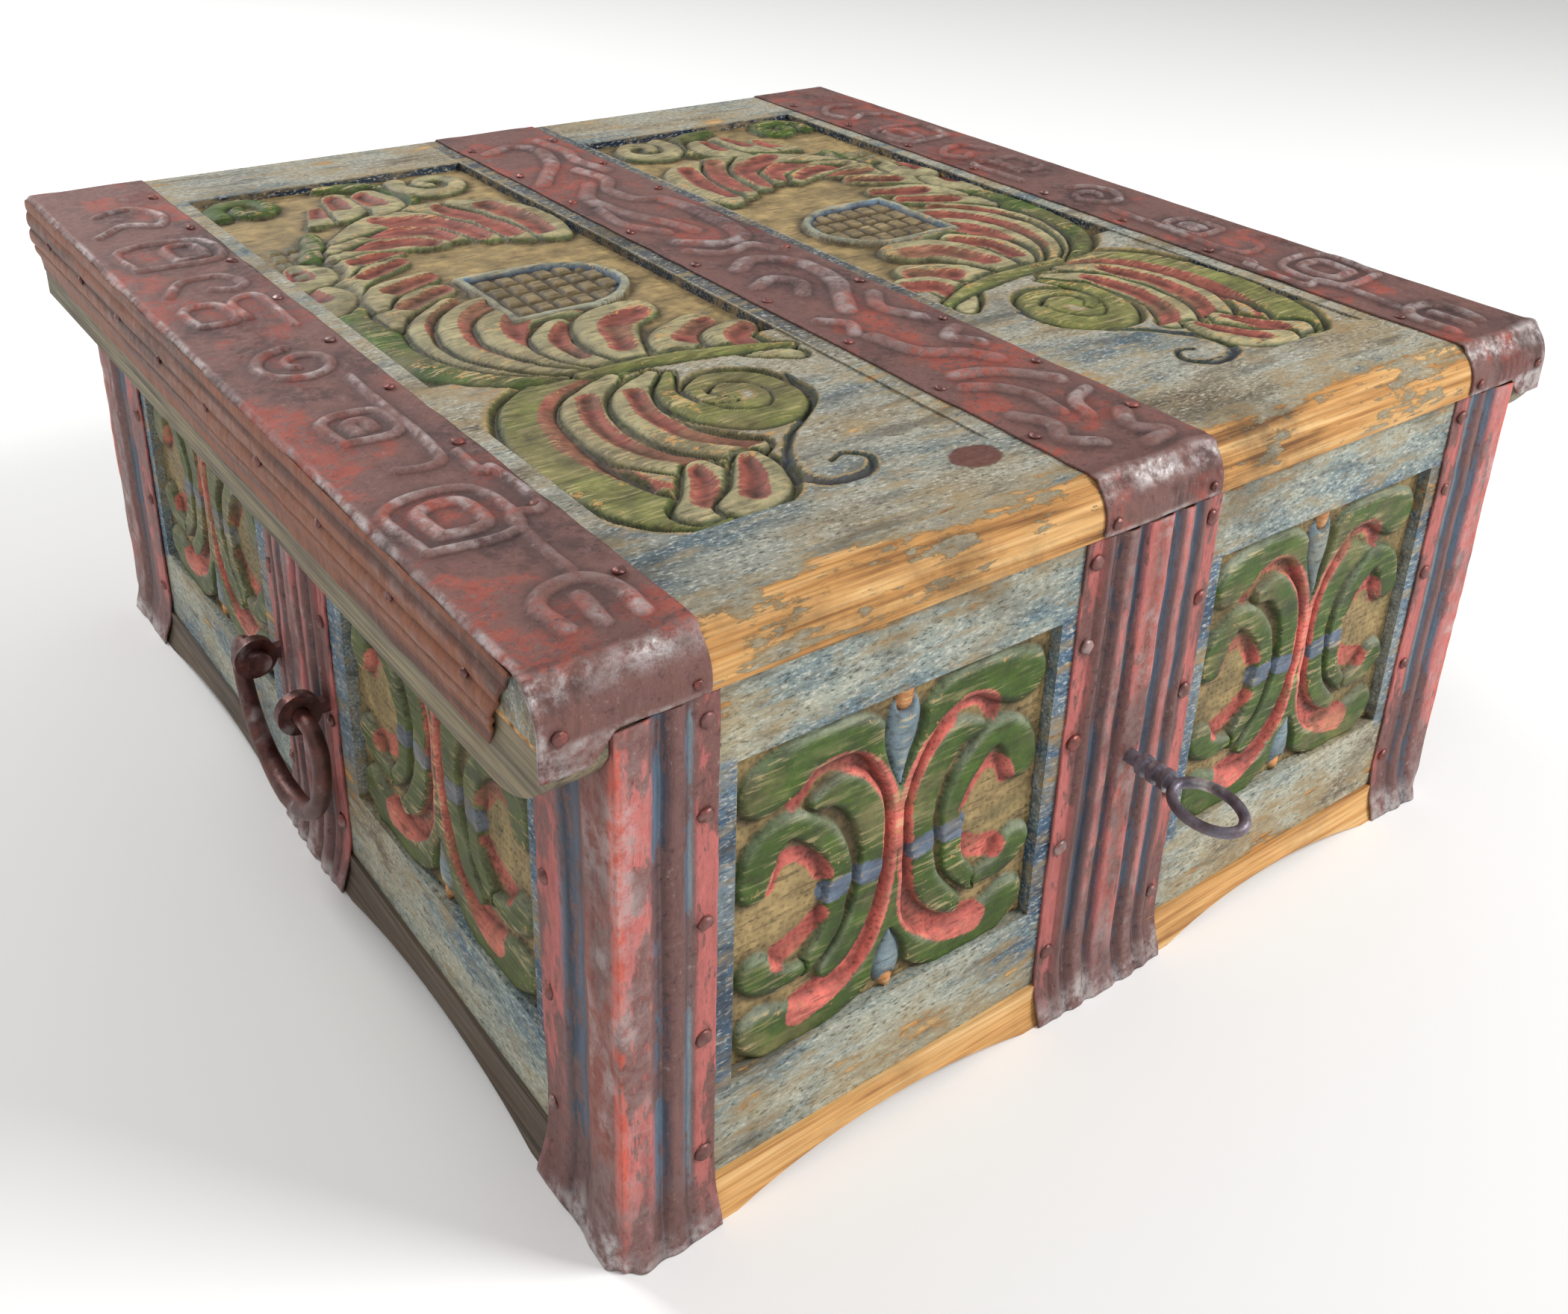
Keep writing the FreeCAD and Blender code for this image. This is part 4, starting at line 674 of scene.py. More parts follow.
# kind, paint, rise, and points with x, y and width
lidStrokes = [
    # front cluster of feather lobes
    ("leaf", "oldGreen", 3.9, [(82, 136, 4), (50, 137, 9), (26, 122, 12), (15, 96, 13), (12, 60, 13),
                               (17, 30, 12), (30, 14, 11), (46, 9, 8)]),
    ("hollow", "madder", 1.5, [(60, 134, 3), (38, 124, 6), (25, 100, 8), (22, 74, 8), (28, 44, 6),
                               (36, 34, 3)]),
    paleLeaf(3.4, (70, 131, 4), (47, 116, 9), (38, 92, 10), (38, 68, 10), (48, 50, 9), (56, 46, 6)),
    paleLeaf(3.4, (86, 126, 4), (66, 110, 9), (60, 88, 10), (62, 66, 10), (74, 50, 9), (82, 48, 6)),
    paleLeaf(3.4, (32, 14, 8), (44, 20, 11), (52, 32, 10), (54, 42, 6)),
    paleLeaf(3.4, (48, 10, 8), (62, 16, 11), (70, 28, 10), (74, 40, 6)),
    # volute beside the cluster, and its tendril
    ("roll", "oldGreen", 3.4, [(92, 122, 5), (80, 104, 9), (82, 80, 12), (96, 66, 13), (114, 68, 12),
                               (124, 84, 11), (120, 102, 10), (106, 110, 9), (92, 102, 8), (91, 90, 6),
                               (98, 85, 4)]),
    ("tie", "oldGreen", 1.5, spiral(106, 88, 180, 1.0, 15, 6, 13)),
    ("hollow", "deepBlue", 2.0, [(134, 96, 2), (131, 74, 2.4), (116, 58, 2.6), (98, 46, 3), (86, 32, 4),
                                 (80, 16, 5), (86, 6, 5), (102, 4, 4), (112, 13, 3), (106, 22, 2),
                                 (98, 20, 2)]),
    # second row: leaf lobes that rise from the middle node
    ("roll", "leafGreen", 3.2, [(64, 142, 5), (34, 154, 14), (15, 178, 18), (9, 210, 17), (9, 246, 16),
                                (13, 290, 15), (22, 330, 14), (34, 368, 9)]),
    paleLeaf(3.0, (60, 142, 4), (36, 168, 8), (26, 200, 9), (32, 226, 9), (52, 246, 6)),
    paleLeaf(3.4, (66, 141, 4), (46, 166, 9), (38, 196, 11), (50, 226, 11), (74, 240, 9)),
    paleLeaf(3.4, (80, 139, 4), (62, 164, 10), (56, 194, 12), (68, 216, 12), (96, 214, 9)),
    paleLeaf(3.0, (84, 139, 4), (70, 160, 8), (70, 182, 9), (82, 196, 8)),
    paleLeaf(3.6, (90, 138, 5), (92, 164, 13), (102, 188, 15), (120, 196, 12)),
    paleLeaf(3.2, (106, 138, 5), (118, 156, 12), (136, 168, 10)),
    paleLeaf(3.2, (152, 112, 5), (140, 128, 9), (138, 146, 11), (150, 154, 9)),
    # short lobes up the left stem
    paleLeaf(2.8, (20, 232, 4), (28, 252, 9), (56, 266, 8)),
    paleLeaf(2.8, (22, 254, 4), (32, 276, 9), (60, 286, 7)),
    paleLeaf(2.8, (22, 282, 4), (30, 300, 9), (56, 312, 7)),
    paleLeaf(2.8, (26, 306, 4), (34, 322, 9), (60, 328, 7)),
    paleLeaf(2.2, (4, 262, 6), (10, 282, 12), (6, 300, 8)),
    paleLeaf(2.2, (4, 300, 6), (14, 316, 13), (12, 328, 7)),
    # fan of long lobes behind the cartouche
    paleLeaf(3.0, (30, 330, 4), (48, 342, 10), (76, 338, 11), (88, 330, 7)),
    paleLeaf(3.2, (34, 340, 4), (60, 360, 11), (92, 352, 12), (100, 336, 9)),
    paleLeaf(3.4, (40, 352, 4), (78, 376, 12), (108, 362, 13), (116, 330, 10)),
    paleLeaf(3.4, (96, 388, 5), (118, 378, 12), (131, 352, 13), (132, 322, 10)),
    paleLeaf(3.4, (122, 386, 5), (140, 370, 12), (148, 342, 13), (146, 316, 10)),
    # scrolls along the back edge
    ("roll", "leafGreen", 3.0, spiral(24, 430, 200, -1.15, 18, 5, 11)),
    ("roll", "leafGreen", 3.2, [(70, 446, 6), (90, 442, 12), (106, 426, 12), (108, 410, 9), (98, 398, 6)]),
    ("roll", "paleLeaf", 3.0, spiral(131, 428, 150, 1.2, 21, 5, 11)),
    paleLeaf(2.4, (44, 386, 4), (56, 398, 10), (58, 410, 8)),
    paleLeaf(2.6, (60, 388, 4), (72, 408, 11), (74, 426, 9)),
    paleLeaf(2.6, (80, 386, 4), (92, 406, 11), (90, 424, 9)),
    # node where the clusters meet
    ("roll", "oldGreen", 3.6, [(60, 140, 5), (84, 139, 8), (110, 136, 10), (136, 130, 8), (156, 122, 5)]),
]
# half-round cartouche with a rim round its rows of pellets, and a loose patch of pellets
cartouche = {
    "left": 67.0, "right": 143.0, "bottom": 208.0, "top": 276.0, "rim": 5.0, "rimEase": 1.2, "bulge": 1.15,
    "columns": 6, "rows": 4, "bed": 0.6, "rimRise": 2.6, "pelletRise": 1.6, "pellet": srgb(124, 108, 78),
}
pelletPatch = {
    "left": 6.0, "right": 42.0, "bottom": 312.0, "top": 366.0, "columns": 4, "rows": 5, "pelletRise": 1.5,
    "pellet": srgb(122, 116, 88),
}


def pellets(x, y, patch, inset):
    # square pellets in rows, 1 on top and 0 between
    px = (x - patch["left"] - inset) / (patch["right"] - patch["left"] - 2 * inset) * patch["columns"]
    py = (y - patch["bottom"] - inset) / (patch["top"] - patch["bottom"] - 2 * inset) * patch["rows"]
    within = (px > 0) & (px < patch["columns"]) & (py > 0) & (py < patch["rows"])
    edge = np.minimum(0.5 - np.abs(px % 1 - 0.5), 0.5 - np.abs(py % 1 - 0.5))
    return smoothStep(0.08, 0.24, edge) * within


def cartoucheDepth(x, y):
    # distance inside the half-round cartouche, in mm: flat on the left, round on the right
    c = cartouche
    half = (c["top"] - c["bottom"]) / 2
    cx, cy = c["right"] - half * c["bulge"], (c["top"] + c["bottom"]) / 2
    straight = np.minimum(x - c["left"], half - np.abs(y - cy))
    roundEnd = half - np.hypot(np.maximum(x - cx, 0) / c["bulge"], y - cy)
    return np.minimum(straight, roundEnd)


def leafScoop(points, wide):
    # middle line of the hollow in a leaf, moved to the side that the leaf bends round
    bend = (np.array(points[0][:2]) + points[-1][:2]) / 2 - points[len(points) // 2][:2]
    bend = bend / max(np.hypot(*bend), 1e-6) * wide * lidCarving["scoop"]
    return [(px + bend[0] * width, py + bend[1] * width, width * wide * lidCarving["hollow"])
            for px, py, width in points[1:]]


def makeLidCarving(name, side, seed):
    c = lidCarving
    outer = -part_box("left_lid_band")[1].x / mm - c["margin"]
    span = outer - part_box("middle_lid_band")[1].x / mm - c["margin"]
    sheet = Sheet(name, int(span / c["pitch"]), int(c["length"] / c["pitch"]))
    x, y = sheet.u * span, sheet.v * c["length"]
    wx = x + 1.2 * smoothNoise(x, y, 37, seed) + 0.5 * smoothNoise(x, y, 11, seed + 1)
    wy = y * c["drawn"] / c["length"] + 1.6 * smoothNoise(x, y, 41, seed + 2)
    ground = c["ground"] + 0.3 * smoothNoise(x, y, 10, seed + 4)
    flush = smoothStep(c["flushStart"], c["flushEnd"], wy + c["flushSlant"] * (wx - c["flushMiddle"]))
    height = ground - c["dotDepth"] * punchedDots(wx, wy, c["dotPitch"], seed)
    height = height * (1 - flush) + c["flush"] * flush
    paint = np.broadcast_to(paints["ground"], x.shape + (3,)).copy()
    carved = np.zeros_like(x)
    for kind, tint, lift, points in lidStrokes:
        wide = c["widen"][kind]
        share = strokeShare([(px, py, width * wide) for px, py, width in points], wx, wy)
        height, shown = carve(kind, lift * c["rise"], share, height, ground)
        paint[shown] = paints[tint]
        carved = np.maximum(carved, smoothStep(1.5, 1.25, share))
        if kind == "leaf" and tint == "paleLeaf":
            inner = np.where(share < 1, strokeShare(leafScoop(points, wide), wx, wy), farOutside)
            height, shown = carve("hollow", c["hollowDepth"], inner, height, ground)
            paint[shown] = paints["madder"]
    # steep sides of the carved pieces go dark green: green paint on the flanks, darkened as painted shade
    steep = np.hypot(*np.gradient(height, c["pitch"]))
    paint = toward(paint, paints["leafGreen"] * 0.8, 0.85 * smoothStep(0.5, 1.3, steep) * carved)
    # the cartouche and the pellet patch lie over the leaves
    depth = cartoucheDepth(wx, wy)
    framed = depth > 0
    edge, ease = cartouche["rim"], cartouche["rimEase"]
    rim = smoothStep(0, ease, depth) * smoothStep(edge, edge - ease, depth)
    square = pellets(wx, wy, cartouche, edge + 2) * (depth > edge + 1)
    relief = cartouche["rimRise"] * rim + cartouche["pelletRise"] * square
    height = np.where(framed, c["ground"] + cartouche["bed"] + relief, height)
    # between the pellets the ground colour is darkened: painted shade in the grooves
    paint[framed] = paints["ground"] * 0.45
    paint[framed & (rim > 0.4)] = paints["greyGreen"]
    paint[framed & (depth > edge - 1) & (depth < edge + 1.5)] = paints["blue"]
    paint[framed & (square > 0.5)] = cartouche["pellet"]
    square = pellets(wx, wy, pelletPatch, 0.0)
    height = np.maximum(height, ground + pelletPatch["pelletRise"] * square)
    paint[square > 0.5] = pelletPatch["pellet"]
    # fibres, wear, and grime with painted shade in the grooves
    height = height + 0.14 * smoothNoise(x, y * 9, 22, seed + 8) + 0.12 * smoothNoise(x, y, 3, seed + 5)
    crest = np.clip((height - c["ground"] - 2.0) / 1.6, 0, 1) * (0.5 + 0.5 * smoothNoise(x, y, 24, seed + 6))
    marks = carvedMarks(height, crest * 0.6, seed, x, y)
    worn = smoothStep(0.0, 0.7, layeredNoise(x * 0.6, y, 34, seed + 12))
    paint = toward(paint, srgb(112, 98, 70), 0.5 * worn)
    # the lid's grooves twice as dark: more grime and painted shade
    marks[..., 1] = np.clip(2.1 * marks[..., 1], 0, 1)
    marks[..., 2] = flush * (1 - carved)
    atRim = (sheet.fromRim(span, c["length"]) < c["rim"]) & (flush < 0.5)
    height = np.where(atRim, c["floor"], height)
    sheet.place(side * (outer - x) * mm, lidFront + (c["front"] + y) * mm, lidTop + height * mm)
    sheet.colour("paint", paint)
    sheet.colour("marks", marks)
    node = "left_lid_carving" if side < 0 else "right_lid_carving"
    sheet.finish(carvingFinish, "lid", "painted_carved_wood", (0, 0, 1), (node,))


makeLidCarving("leftLidCarving", -1, 211)
makeLidCarving("rightLidCarving", 1, 251)
print("lid fields carved")


# ribbed sheet irons: place and height of the ribs as shares, with the paint that each part keeps; red paint
# on the arris with a painted highlight, and darker flats on the side legs as painted shade
ribbing = {
    "sheet": 1.2, "rib": 3.3, "step": 6.5, "base": 20.0, "rows": 150, "pitch": 0.8, "ease": 0.02,
    "footZone": 20.0, "footFlatten": 0.6, "ragged": 0.6, "arris": 0.3, "arrisReach": 11.0,
    # from the arris: red paint with a painted highlight on it
    "front": [(0.0, 1.0, "arrisRedAndHighlight"), (0.05, 1.0, "arrisRedAndHighlight"), (0.08, 1.0, "rose"), (0.31, 0.95, "rose"),
              (0.36, 0.5, "ironBlue"), (0.41, 0.08, "blue"), (0.47, 0.05, "deepBlue"), (0.52, 0.75, "iron"),
              (0.63, 0.75, "iron"), (0.67, 0.15, "ironBlue"), (0.72, 0.05, "slate"), (0.76, 0.12, "iron"),
              (0.80, 0.12, "rose"), (1.0, 0.0, "rose")],
    # the side legs' flats are darker than the front's: painted shade
    "side": [(0.0, 1.0, "arrisRedAndHighlight"), (0.05, 1.0, "arrisRedAndHighlight"), (0.09, 1.0, "rust"), (0.36, 0.95, "rust"),
             (0.42, 0.5, "iron"), (0.47, 0.08, "ironBlue"), (0.62, 0.05, "deepBlue"), (0.68, 0.3, "ironBlue"),
             (0.74, 0.35, "rose"), (1.0, 0.1, "rose")],
    "strap": [(0.0, 0.95, "rust"), (0.16, 0.95, "rose"), (0.22, 0.1, "deepBlue"), (0.28, 0.05, "blue"),
              (0.34, 0.9, "iron"), (0.42, 0.95, "rose"), (0.49, 0.9, "iron"), (0.55, 0.1, "deepBlue"),
              (0.62, 0.05, "ironBlue"), (0.67, 0.6, "iron"), (0.73, 0.55, "iron"), (0.78, 0.05, "rose"),
              (1.0, 0.0, "rose")],
    "flare": [(0.0, 1.0), (0.2, 0.9), (0.5, 0.55), (0.9, 0.2), (1.4, 0.03), (1.7, 0.0)],
}


def ribProfile(kind, shares):
    # height and paint at places along a leg, with the ribs' corners eased
    places, heights, names = zip(*ribbing[kind])
    near = np.abs(shares)
    ease = ribbing["ease"]
    eased = sum(np.interp(near + shift, places, heights) for shift in (-ease, 0.0, ease)) / 3
    tints = np.array([paints[name] for name in names])
    paint = np.stack([np.interp(near, places, tints[:, part]) for part in range(3)], -1)
    return eased, paint


def ironLook(sheet, ribs, paint, z, seed):
    # paint worn off towards the foot, rubbed ribs, grooves darkened with grime and painted shade
    x = sheet.u * 100
    foot = smoothStep(48, 6, z + 14 * smoothNoise(x, z, 21, seed))
    patchy = smoothStep(-0.4, 0.7, layeredNoise(x * 1.6, z * 0.5, 17, seed + 1))
    lost = np.clip(0.55 * foot + 0.85 * patchy, 0, 1)
    rub = np.clip((ribs - 0.8) * 3, 0, 1)
    rub = rub * (0.25 + 0.45 * smoothStep(0, 0.7, smoothNoise(x, z, 13, seed + 4)))
    grooveGrimeAndShade = np.clip(1 - ribs * 2.5, 0, 1) * np.clip(np.gradient(ribs, axis=1) ** 2 * 900, 0.15, 1)
    tip = smoothStep(16, 2, z + 8 * smoothNoise(x, z, 12, seed + 9))
    rub = np.clip(rub + 0.6 * tip, 0, 1)
    sheet.colour("paint", toward(paint, srgb(124, 104, 104), 0.6 * foot))
    sheet.colour("marks", np.stack([rub, grooveGrimeAndShade, lost], -1))


def flareStep(z):
    places, steps = zip(*ribbing["flare"])
    return ribbing["step"] * np.interp(z / ribbing["base"], places, steps)


def ribHeights(z):
    # the ribs die down towards the foot
    return ribbing["rib"] * (1 - ribbing["footFlatten"] * smoothStep(ribbing["footZone"], 2, z))


def raggedFoot(place, z, seed):
    return (z < 1) * np.abs(smoothNoise(place, z, 8, seed)) * ribbing["ragged"]


def makeCornerIron(name, node, xSide, ySide, seed):
    low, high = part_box(node)
    faceY = frontY if ySide < 0 else backY
    skin = ribbing["sheet"]
    rise = skin + ribbing["rib"]
    edgeX = min(abs(low.x), abs(high.x)) / mm
    edgeY = (high.y - faceY if ySide < 0 else faceY - low.y) / mm
    frontLeg, sideLeg = sideX / mm + rise - edgeX, rise + edgeY
    sheet = Sheet(name, int((frontLeg + sideLeg) / ribbing["pitch"]), ribbing["rows"])
    place = sheet.u * (frontLeg + sideLeg) - frontLeg
    onFront = place < 0
    share = np.where(onFront, place / frontLeg, place / sideLeg)
    z = sheet.v * ironTop / mm
    ribs, paint = ribProfile("front", share)
    sideRibs, sidePaint = ribProfile("side", share)
    ribs, paint = np.where(onFront, ribs, sideRibs), np.where(onFront[..., None], paint, sidePaint)
    # the flare is less at the arris, so that the foot stays round
    arris = ribbing["arris"]
    step = flareStep(z) * (arris + (1 - arris) * smoothStep(1, ribbing["arrisReach"], np.abs(place)))
    ribHeight = ribHeights(z)
    lift = ribs * ribHeight + skin + step + dented(place, z, seed)
    back = ribHeight + skin - np.abs(place) * (1 - (rise - ribHeight - skin) / frontLeg)
    back = back + step * (1 - np.abs(share))
    outX = sideX / mm + np.where(onFront, back, lift)
    outY = np.where(onFront, lift, back)
    for grid in (outX, outY):
        grid[:, 1:-1] = (grid[:, :-2] + 2 * grid[:, 1:-1] + grid[:, 2:]) / 4
    up = (z + raggedFoot(place, z, seed + 5)) * mm
    sheet.place(xSide * outX * mm, faceY + ySide * outY * mm, up)
    ironLook(sheet, ribs, paint, z, seed + 7)
    sheet.finish(ironFinish, "chest", "painted_sheet_iron", (xSide, ySide, 0), (node,), skin * mm)


def makeStrap(name, node, facing, seed):
    low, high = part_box(node)
    along = 0 if facing[0] == 0 else 1
    half = (high[along] - low[along]) / 2 / mm
    middle = (high[along] + low[along]) / 2
    sheet = Sheet(name, int(2 * half / ribbing["pitch"]), ribbing["rows"])
    share = sheet.u * 2 - 1
    place = share * half
    z = sheet.v * ironTop / mm
    ribs, paint = ribProfile("strap", share)
    lift = (ribs * ribHeights(z) + ribbing["sheet"] + flareStep(z) + dented(place, z, seed)) * mm
    run = middle + place * mm
    up = (z + raggedFoot(place, z, seed + 5)) * mm
    if along == 0:
        face = frontY if facing[1] < 0 else backY
        sheet.place(run, face + facing[1] * lift, up)
    else:
        sheet.place(facing[0] * (sideX + lift), run, up)
    ironLook(sheet, ribs, paint, z, seed + 7)
    sheet.finish(ironFinish, "chest", "painted_sheet_iron", facing, (node,), ribbing["sheet"] * mm)


makeCornerIron("frontLeftIron", "front_left_corner_iron", -1, -1, 301)
makeCornerIron("frontRightIron", "front_right_corner_iron", 1, -1, 321)
makeCornerIron("backLeftIron", "back_left_corner_iron", -1, 1, 341)
makeCornerIron("backRightIron", "back_right_corner_iron", 1, 1, 361)
makeStrap("lockStrap", "front_lock_strap", (0, -1, 0), 381)
makeStrap("backStrap", "back_mid_strap", (0, 1, 0), 401)
makeStrap("leftStrap", "left_mid_strap", (-1, 0, 0), 421)
makeStrap("rightStrap", "right_mid_strap", (1, 0, 0), 441)
print("irons ribbed")

# embossed lid bands, with the sheets that fold down over the battens
bandIron = {
    "sheet": 1.2, "pitch": 0.85, "ovoloDepth": 12.0, "ovoloTurn": 6.0, "ovoloRadius": 19.2, "flapLift": 0.8,
    "backDrop": 20.0, "tipDrop": 9.0, "tipWidth": 16.0, "tipEase": 12.0, "emboss": 1.9, "widen": 1.5,
    "fold": 2.2, "lineStart": 8.0, "waveAt": 24.0, "borderAt": 19.0, "volute": (35, 274, 90, 1.4, 20, 4, 6),
    "redRemains": srgb(180, 78, 58),
}
sideSheet = {
    "drop": 19.0, "slope": 2.5, "snip": 24.0, "snipStart": 15.0, "sink": 0.4,
    "pitchAlong": 1.6, "pitchDown": 0.7,
    "reeds": [(3, 7, 1.0), (11, 9, 1.5), (20.5, 9, 1.5), (28.5, 6, 0.9)],    # place, width, rise
}
# raised lines of the end bands: width, then places from the lid's end and from its front
endLines = [
    (5, [(24, 32), (22, 48), (30, 57), (42, 58), (50, 48), (50, 29)]),
    (5, [(36, 30), (37, 48)]),
    (3.5, [(9, 98), (9, 133), (43, 133), (43, 98), (9, 98)]),
    (4.5, [(18, 107), (18, 126), (35, 126), (35, 107), (18, 107)]),
    (3.5, [(52, 163), (52, 144), (57, 143), (57, 108), (44, 106), (43, 63)]),
    (3.5, [(20, 191), (20, 214), (41, 214), (41, 191), (20, 191)]),
    (5, [(28, 198), (28, 207), (34, 207), (34, 199)]),
    (3.5, [(46, 250), (46, 170), (38, 157), (26, 160)]),
    (3.5, [(14, 335), (14, 360), (30, 360), (30, 336), (14, 335)]),
    (3.5, [(36, 336), (36, 360), (50, 360), (50, 318)]),
    (3.5, [(14, 423), (14, 455), (52, 455), (52, 423), (14, 423)]),
    (4, [(34, 428), (34, 449), (47, 449), (47, 429), (34, 428)]),
    (4, [(14, 380), (24, 396), (40, 398), (50, 386), (44, 376), (34, 381)]),
    (4, [(12, 482), (28, 494), (44, 488), (50, 506), (38, 522), (20, 516)]),
]
# raised leaves of the middle band, places from its left edge and from the lid's front
middleLines = [
    (7, [(12, 529), (30, 536), (43, 522), (36, 495), (20, 470), (9, 454)]),
    (6, [(52, 540), (56, 512), (50, 486), (56, 462)]),
    (7, [(31, 441), (18, 419), (20, 388), (30, 362), (37, 341)]),
    (6, [(40, 470), (46, 446), (36, 428), (40, 404), (54, 396)]),
    (8, [(53, 397), (58, 360), (54, 322), (38, 314), (18, 329)]),
    (5, [(12, 396), (10, 366), (22, 344)]),
    (6, [(14, 312), (28, 300), (46, 304), (56, 290)]),
    (8, [(20, 276), (34, 284), (51, 269), (52, 240), (40, 218), (31, 204)]),
    (6, [(12, 250), (26, 256), (34, 244), (26, 232)]),
    (6, [(56, 214), (46, 196), (54, 176)]),
    (7, [(18, 169), (24, 146), (42, 132), (50, 122)]),
    (5, [(10, 198), (20, 188), (14, 176)]),
    (6, [(58, 158), (48, 150), (56, 138)]),
    (7, [(20, 116), (34, 112), (46, 104), (56, 90)]),
    (6, [(14, 104), (26, 96), (34, 82), (32, 66)]),
    (5, [(58, 76), (46, 70), (40, 56)]),
    (6, [(12, 72), (20, 58), (14, 46), (24, 36)]),
    (6, [(54, 52), (46, 40), (54, 30), (40, 26)]),
]


def bandPath():
    # side view of a lid band from the foot of its back flap to below its front flap: y and z in metres
    b = bandIron
    top, back = lidTop + b["sheet"] * mm, backY + b["sheet"] * mm
    front = lidFront - b["sheet"] * mm
    fold = b["fold"] * mm
    points = [(back, lidTop - b["backDrop"] * mm), (back, top - fold)]
    points += [(back - fold + fold * math.cos(a), top - fold + fold * math.sin(a)) for a in (0.4, 0.8, 1.2)]
    start = Vector((lidFront + b["ovoloDepth"] * mm, top))
    end = Vector((front, lidBase + b["ovoloTurn"] * mm))
    points += [(back - fold, top), tuple(start)]
    # the rounded front edge is an arc with its centre inside the lid
    chord = end - start
    outward = Vector((chord.y, -chord.x)).normalized()
    reach = b["ovoloRadius"] * mm
    centre = (start + end) / 2 - outward * math.sqrt(reach ** 2 - chord.length_squared / 4)
    first = math.atan2(start.y - centre.y, start.x - centre.x)
    last = math.atan2(end.y - centre.y, end.x - centre.x)
    steps = 12
    for step in range(1, steps + 1):
        angle = first + (last - first) * step / steps
        points.append((centre.x + reach * math.cos(angle), centre.y + reach * math.sin(angle)))
    points.append((front, lidBase + b["flapLift"] * mm))
    points.append((front, lidBase - 2 * b["tipDrop"] * mm))
    return np.array(points)


def pathRun(path):
    # distance along the path at each of its points
    return np.concatenate([[0], np.cumsum(np.hypot(*np.diff(path, axis=0).T))])


def alongPath(path, far):
    # place and outward direction at distances along the path
    run = pathRun(path)
    reach = 0.0015

    def at(distance):
        return np.interp(distance, run, path[:, 0]), np.interp(distance, run, path[:, 1])

    (y, z), ahead, behind = at(far), at(far + reach), at(far - reach)
    dy, dz = ahead[0] - behind[0], ahead[1] - behind[1]
    size = np.maximum(np.hypot(dy, dz), 1e-9)
    return y, z, dz / size, -dy / size


def raisedLines(lines, x, y):
    height = np.zeros_like(x)
    for width, points in lines:
        share = strokeShare([(a, b, width * bandIron["widen"]) for a, b in points], x, y)
        height = np.maximum(height, np.clip(1 - share ** 2, 0, 1))
    return height


def bandLook(sheet, height, x, y, seed, warm, edges=0.0, flaked=0.35):
    # brown iron with red remains, or warm umber; rubbed grey on the raised work and along the edges given
    red = smoothStep(0.05, 0.6, layeredNoise(x, y, 30, seed))
    dark = smoothStep(0.0, 0.8, layeredNoise(x, y, 30, seed + 2))
    base = toward(paints["iron"], paints["umber"], warm)
    colour = toward(base, bandIron["redRemains"], 0.7 * red * (1 - warm))
    colour = toward(colour, paints["ironDark"], 0.6 * dark)
    rub = np.clip(height, 0, 1) * (0.15 + 0.4 * smoothStep(-0.2, 0.6, layeredNoise(x, y, 21, seed + 4)))
    edgeRub = edges * (0.35 + 0.65 * smoothStep(-0.5, 0.5, layeredNoise(x, y, 15, seed + 6)))
    rub = np.clip(rub + edgeRub, 0, 1)
    # dark beside the raised work: grime and painted shade
    grooveGrimeAndShade = np.clip(2.6 * (blurred(height, 5) - height), 0, 1)
    sheet.colour("paint", colour)
    sheet.colour("marks", np.stack([rub, grooveGrimeAndShade, np.full_like(rub, flaked)], -1))


def makeBand(name, node, side, seed):
    # side is -1 and 1 for the end bands, 0 for the middle one
    b = bandIron
    path = bandPath()
    low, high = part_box(node)
    plain = pathRun(path)[-2] / mm
    width = (high.x - low.x) / mm
    if side:
        width = lidEnd / mm - min(abs(low.x), abs(high.x)) / mm + b["sheet"]
    sheet = Sheet(name, int(width / b["pitch"]), int(plain / b["pitch"]))
    x = sheet.u * width
    fromEdge = np.minimum(x, width - x)
    dip = 0.0
    if side:
        tip = smoothStep(b["tipWidth"] + b["tipEase"], b["tipWidth"], x)
        dip = tip * (b["tipDrop"] + b["flapLift"])
    far = sheet.v * (plain + dip)
    y, z, outY, outZ = alongPath(path, far * mm)
    front = plain - far
    wx = x + 0.8 * smoothNoise(x, far, 23, seed)
    wy = front - b["lineStart"] + 0.8 * smoothNoise(x, far, 27, seed + 1)
    raised = raisedLines(endLines if side else middleLines, wx, wy)
    if side:
        share = strokeShare(spiral(*b["volute"]), x, front - b["lineStart"])
        raised = np.maximum(raised, np.clip(1 - share ** 2, 0, 1) ** 0.6)
    wavy = smoothStep(4.5, 0, np.abs(front - b["waveAt"] + 1.5 * smoothNoise(x, front, 14, seed + 6)))
    raised = np.maximum(raised * smoothStep(16, 30, front), 0.8 * wavy)
    dents = dented(x, far, seed + 2, (24, 9))
    lift = (b["emboss"] * raised + dents * smoothStep(0, 6, fromEdge)) * mm
    world = (x - width / 2) * mm
    drop = 0.0
    if side:
        world = side * (lidEnd + b["sheet"] * mm - x * mm)
        drop = b["fold"] * mm * smoothStep(3.0, 0.0, x) ** 2 * smoothStep(20, 45, front)
    waver = 0.5 * smoothNoise(np.zeros_like(x), far, 15, seed + 4) * (fromEdge < 0.5) * mm
    sheet.place(world + waver, y + outY * lift, z + outZ * lift - drop)
    border = smoothStep(7, 1, np.abs(front - b["borderAt"]))
    edges = np.maximum(0.75 * border, 0.6 * smoothStep(2.5, 0, front))
    if side:
        edges = np.maximum(edges, 0.6 * smoothStep(4, 1, x))
    bandLook(sheet, raised, x, far, seed + 9, 0.15, edges)
    sheet.finish(ironFinish, "lid", "painted_sheet_iron", (0, 0, 1), (node,), b["sheet"] * mm)


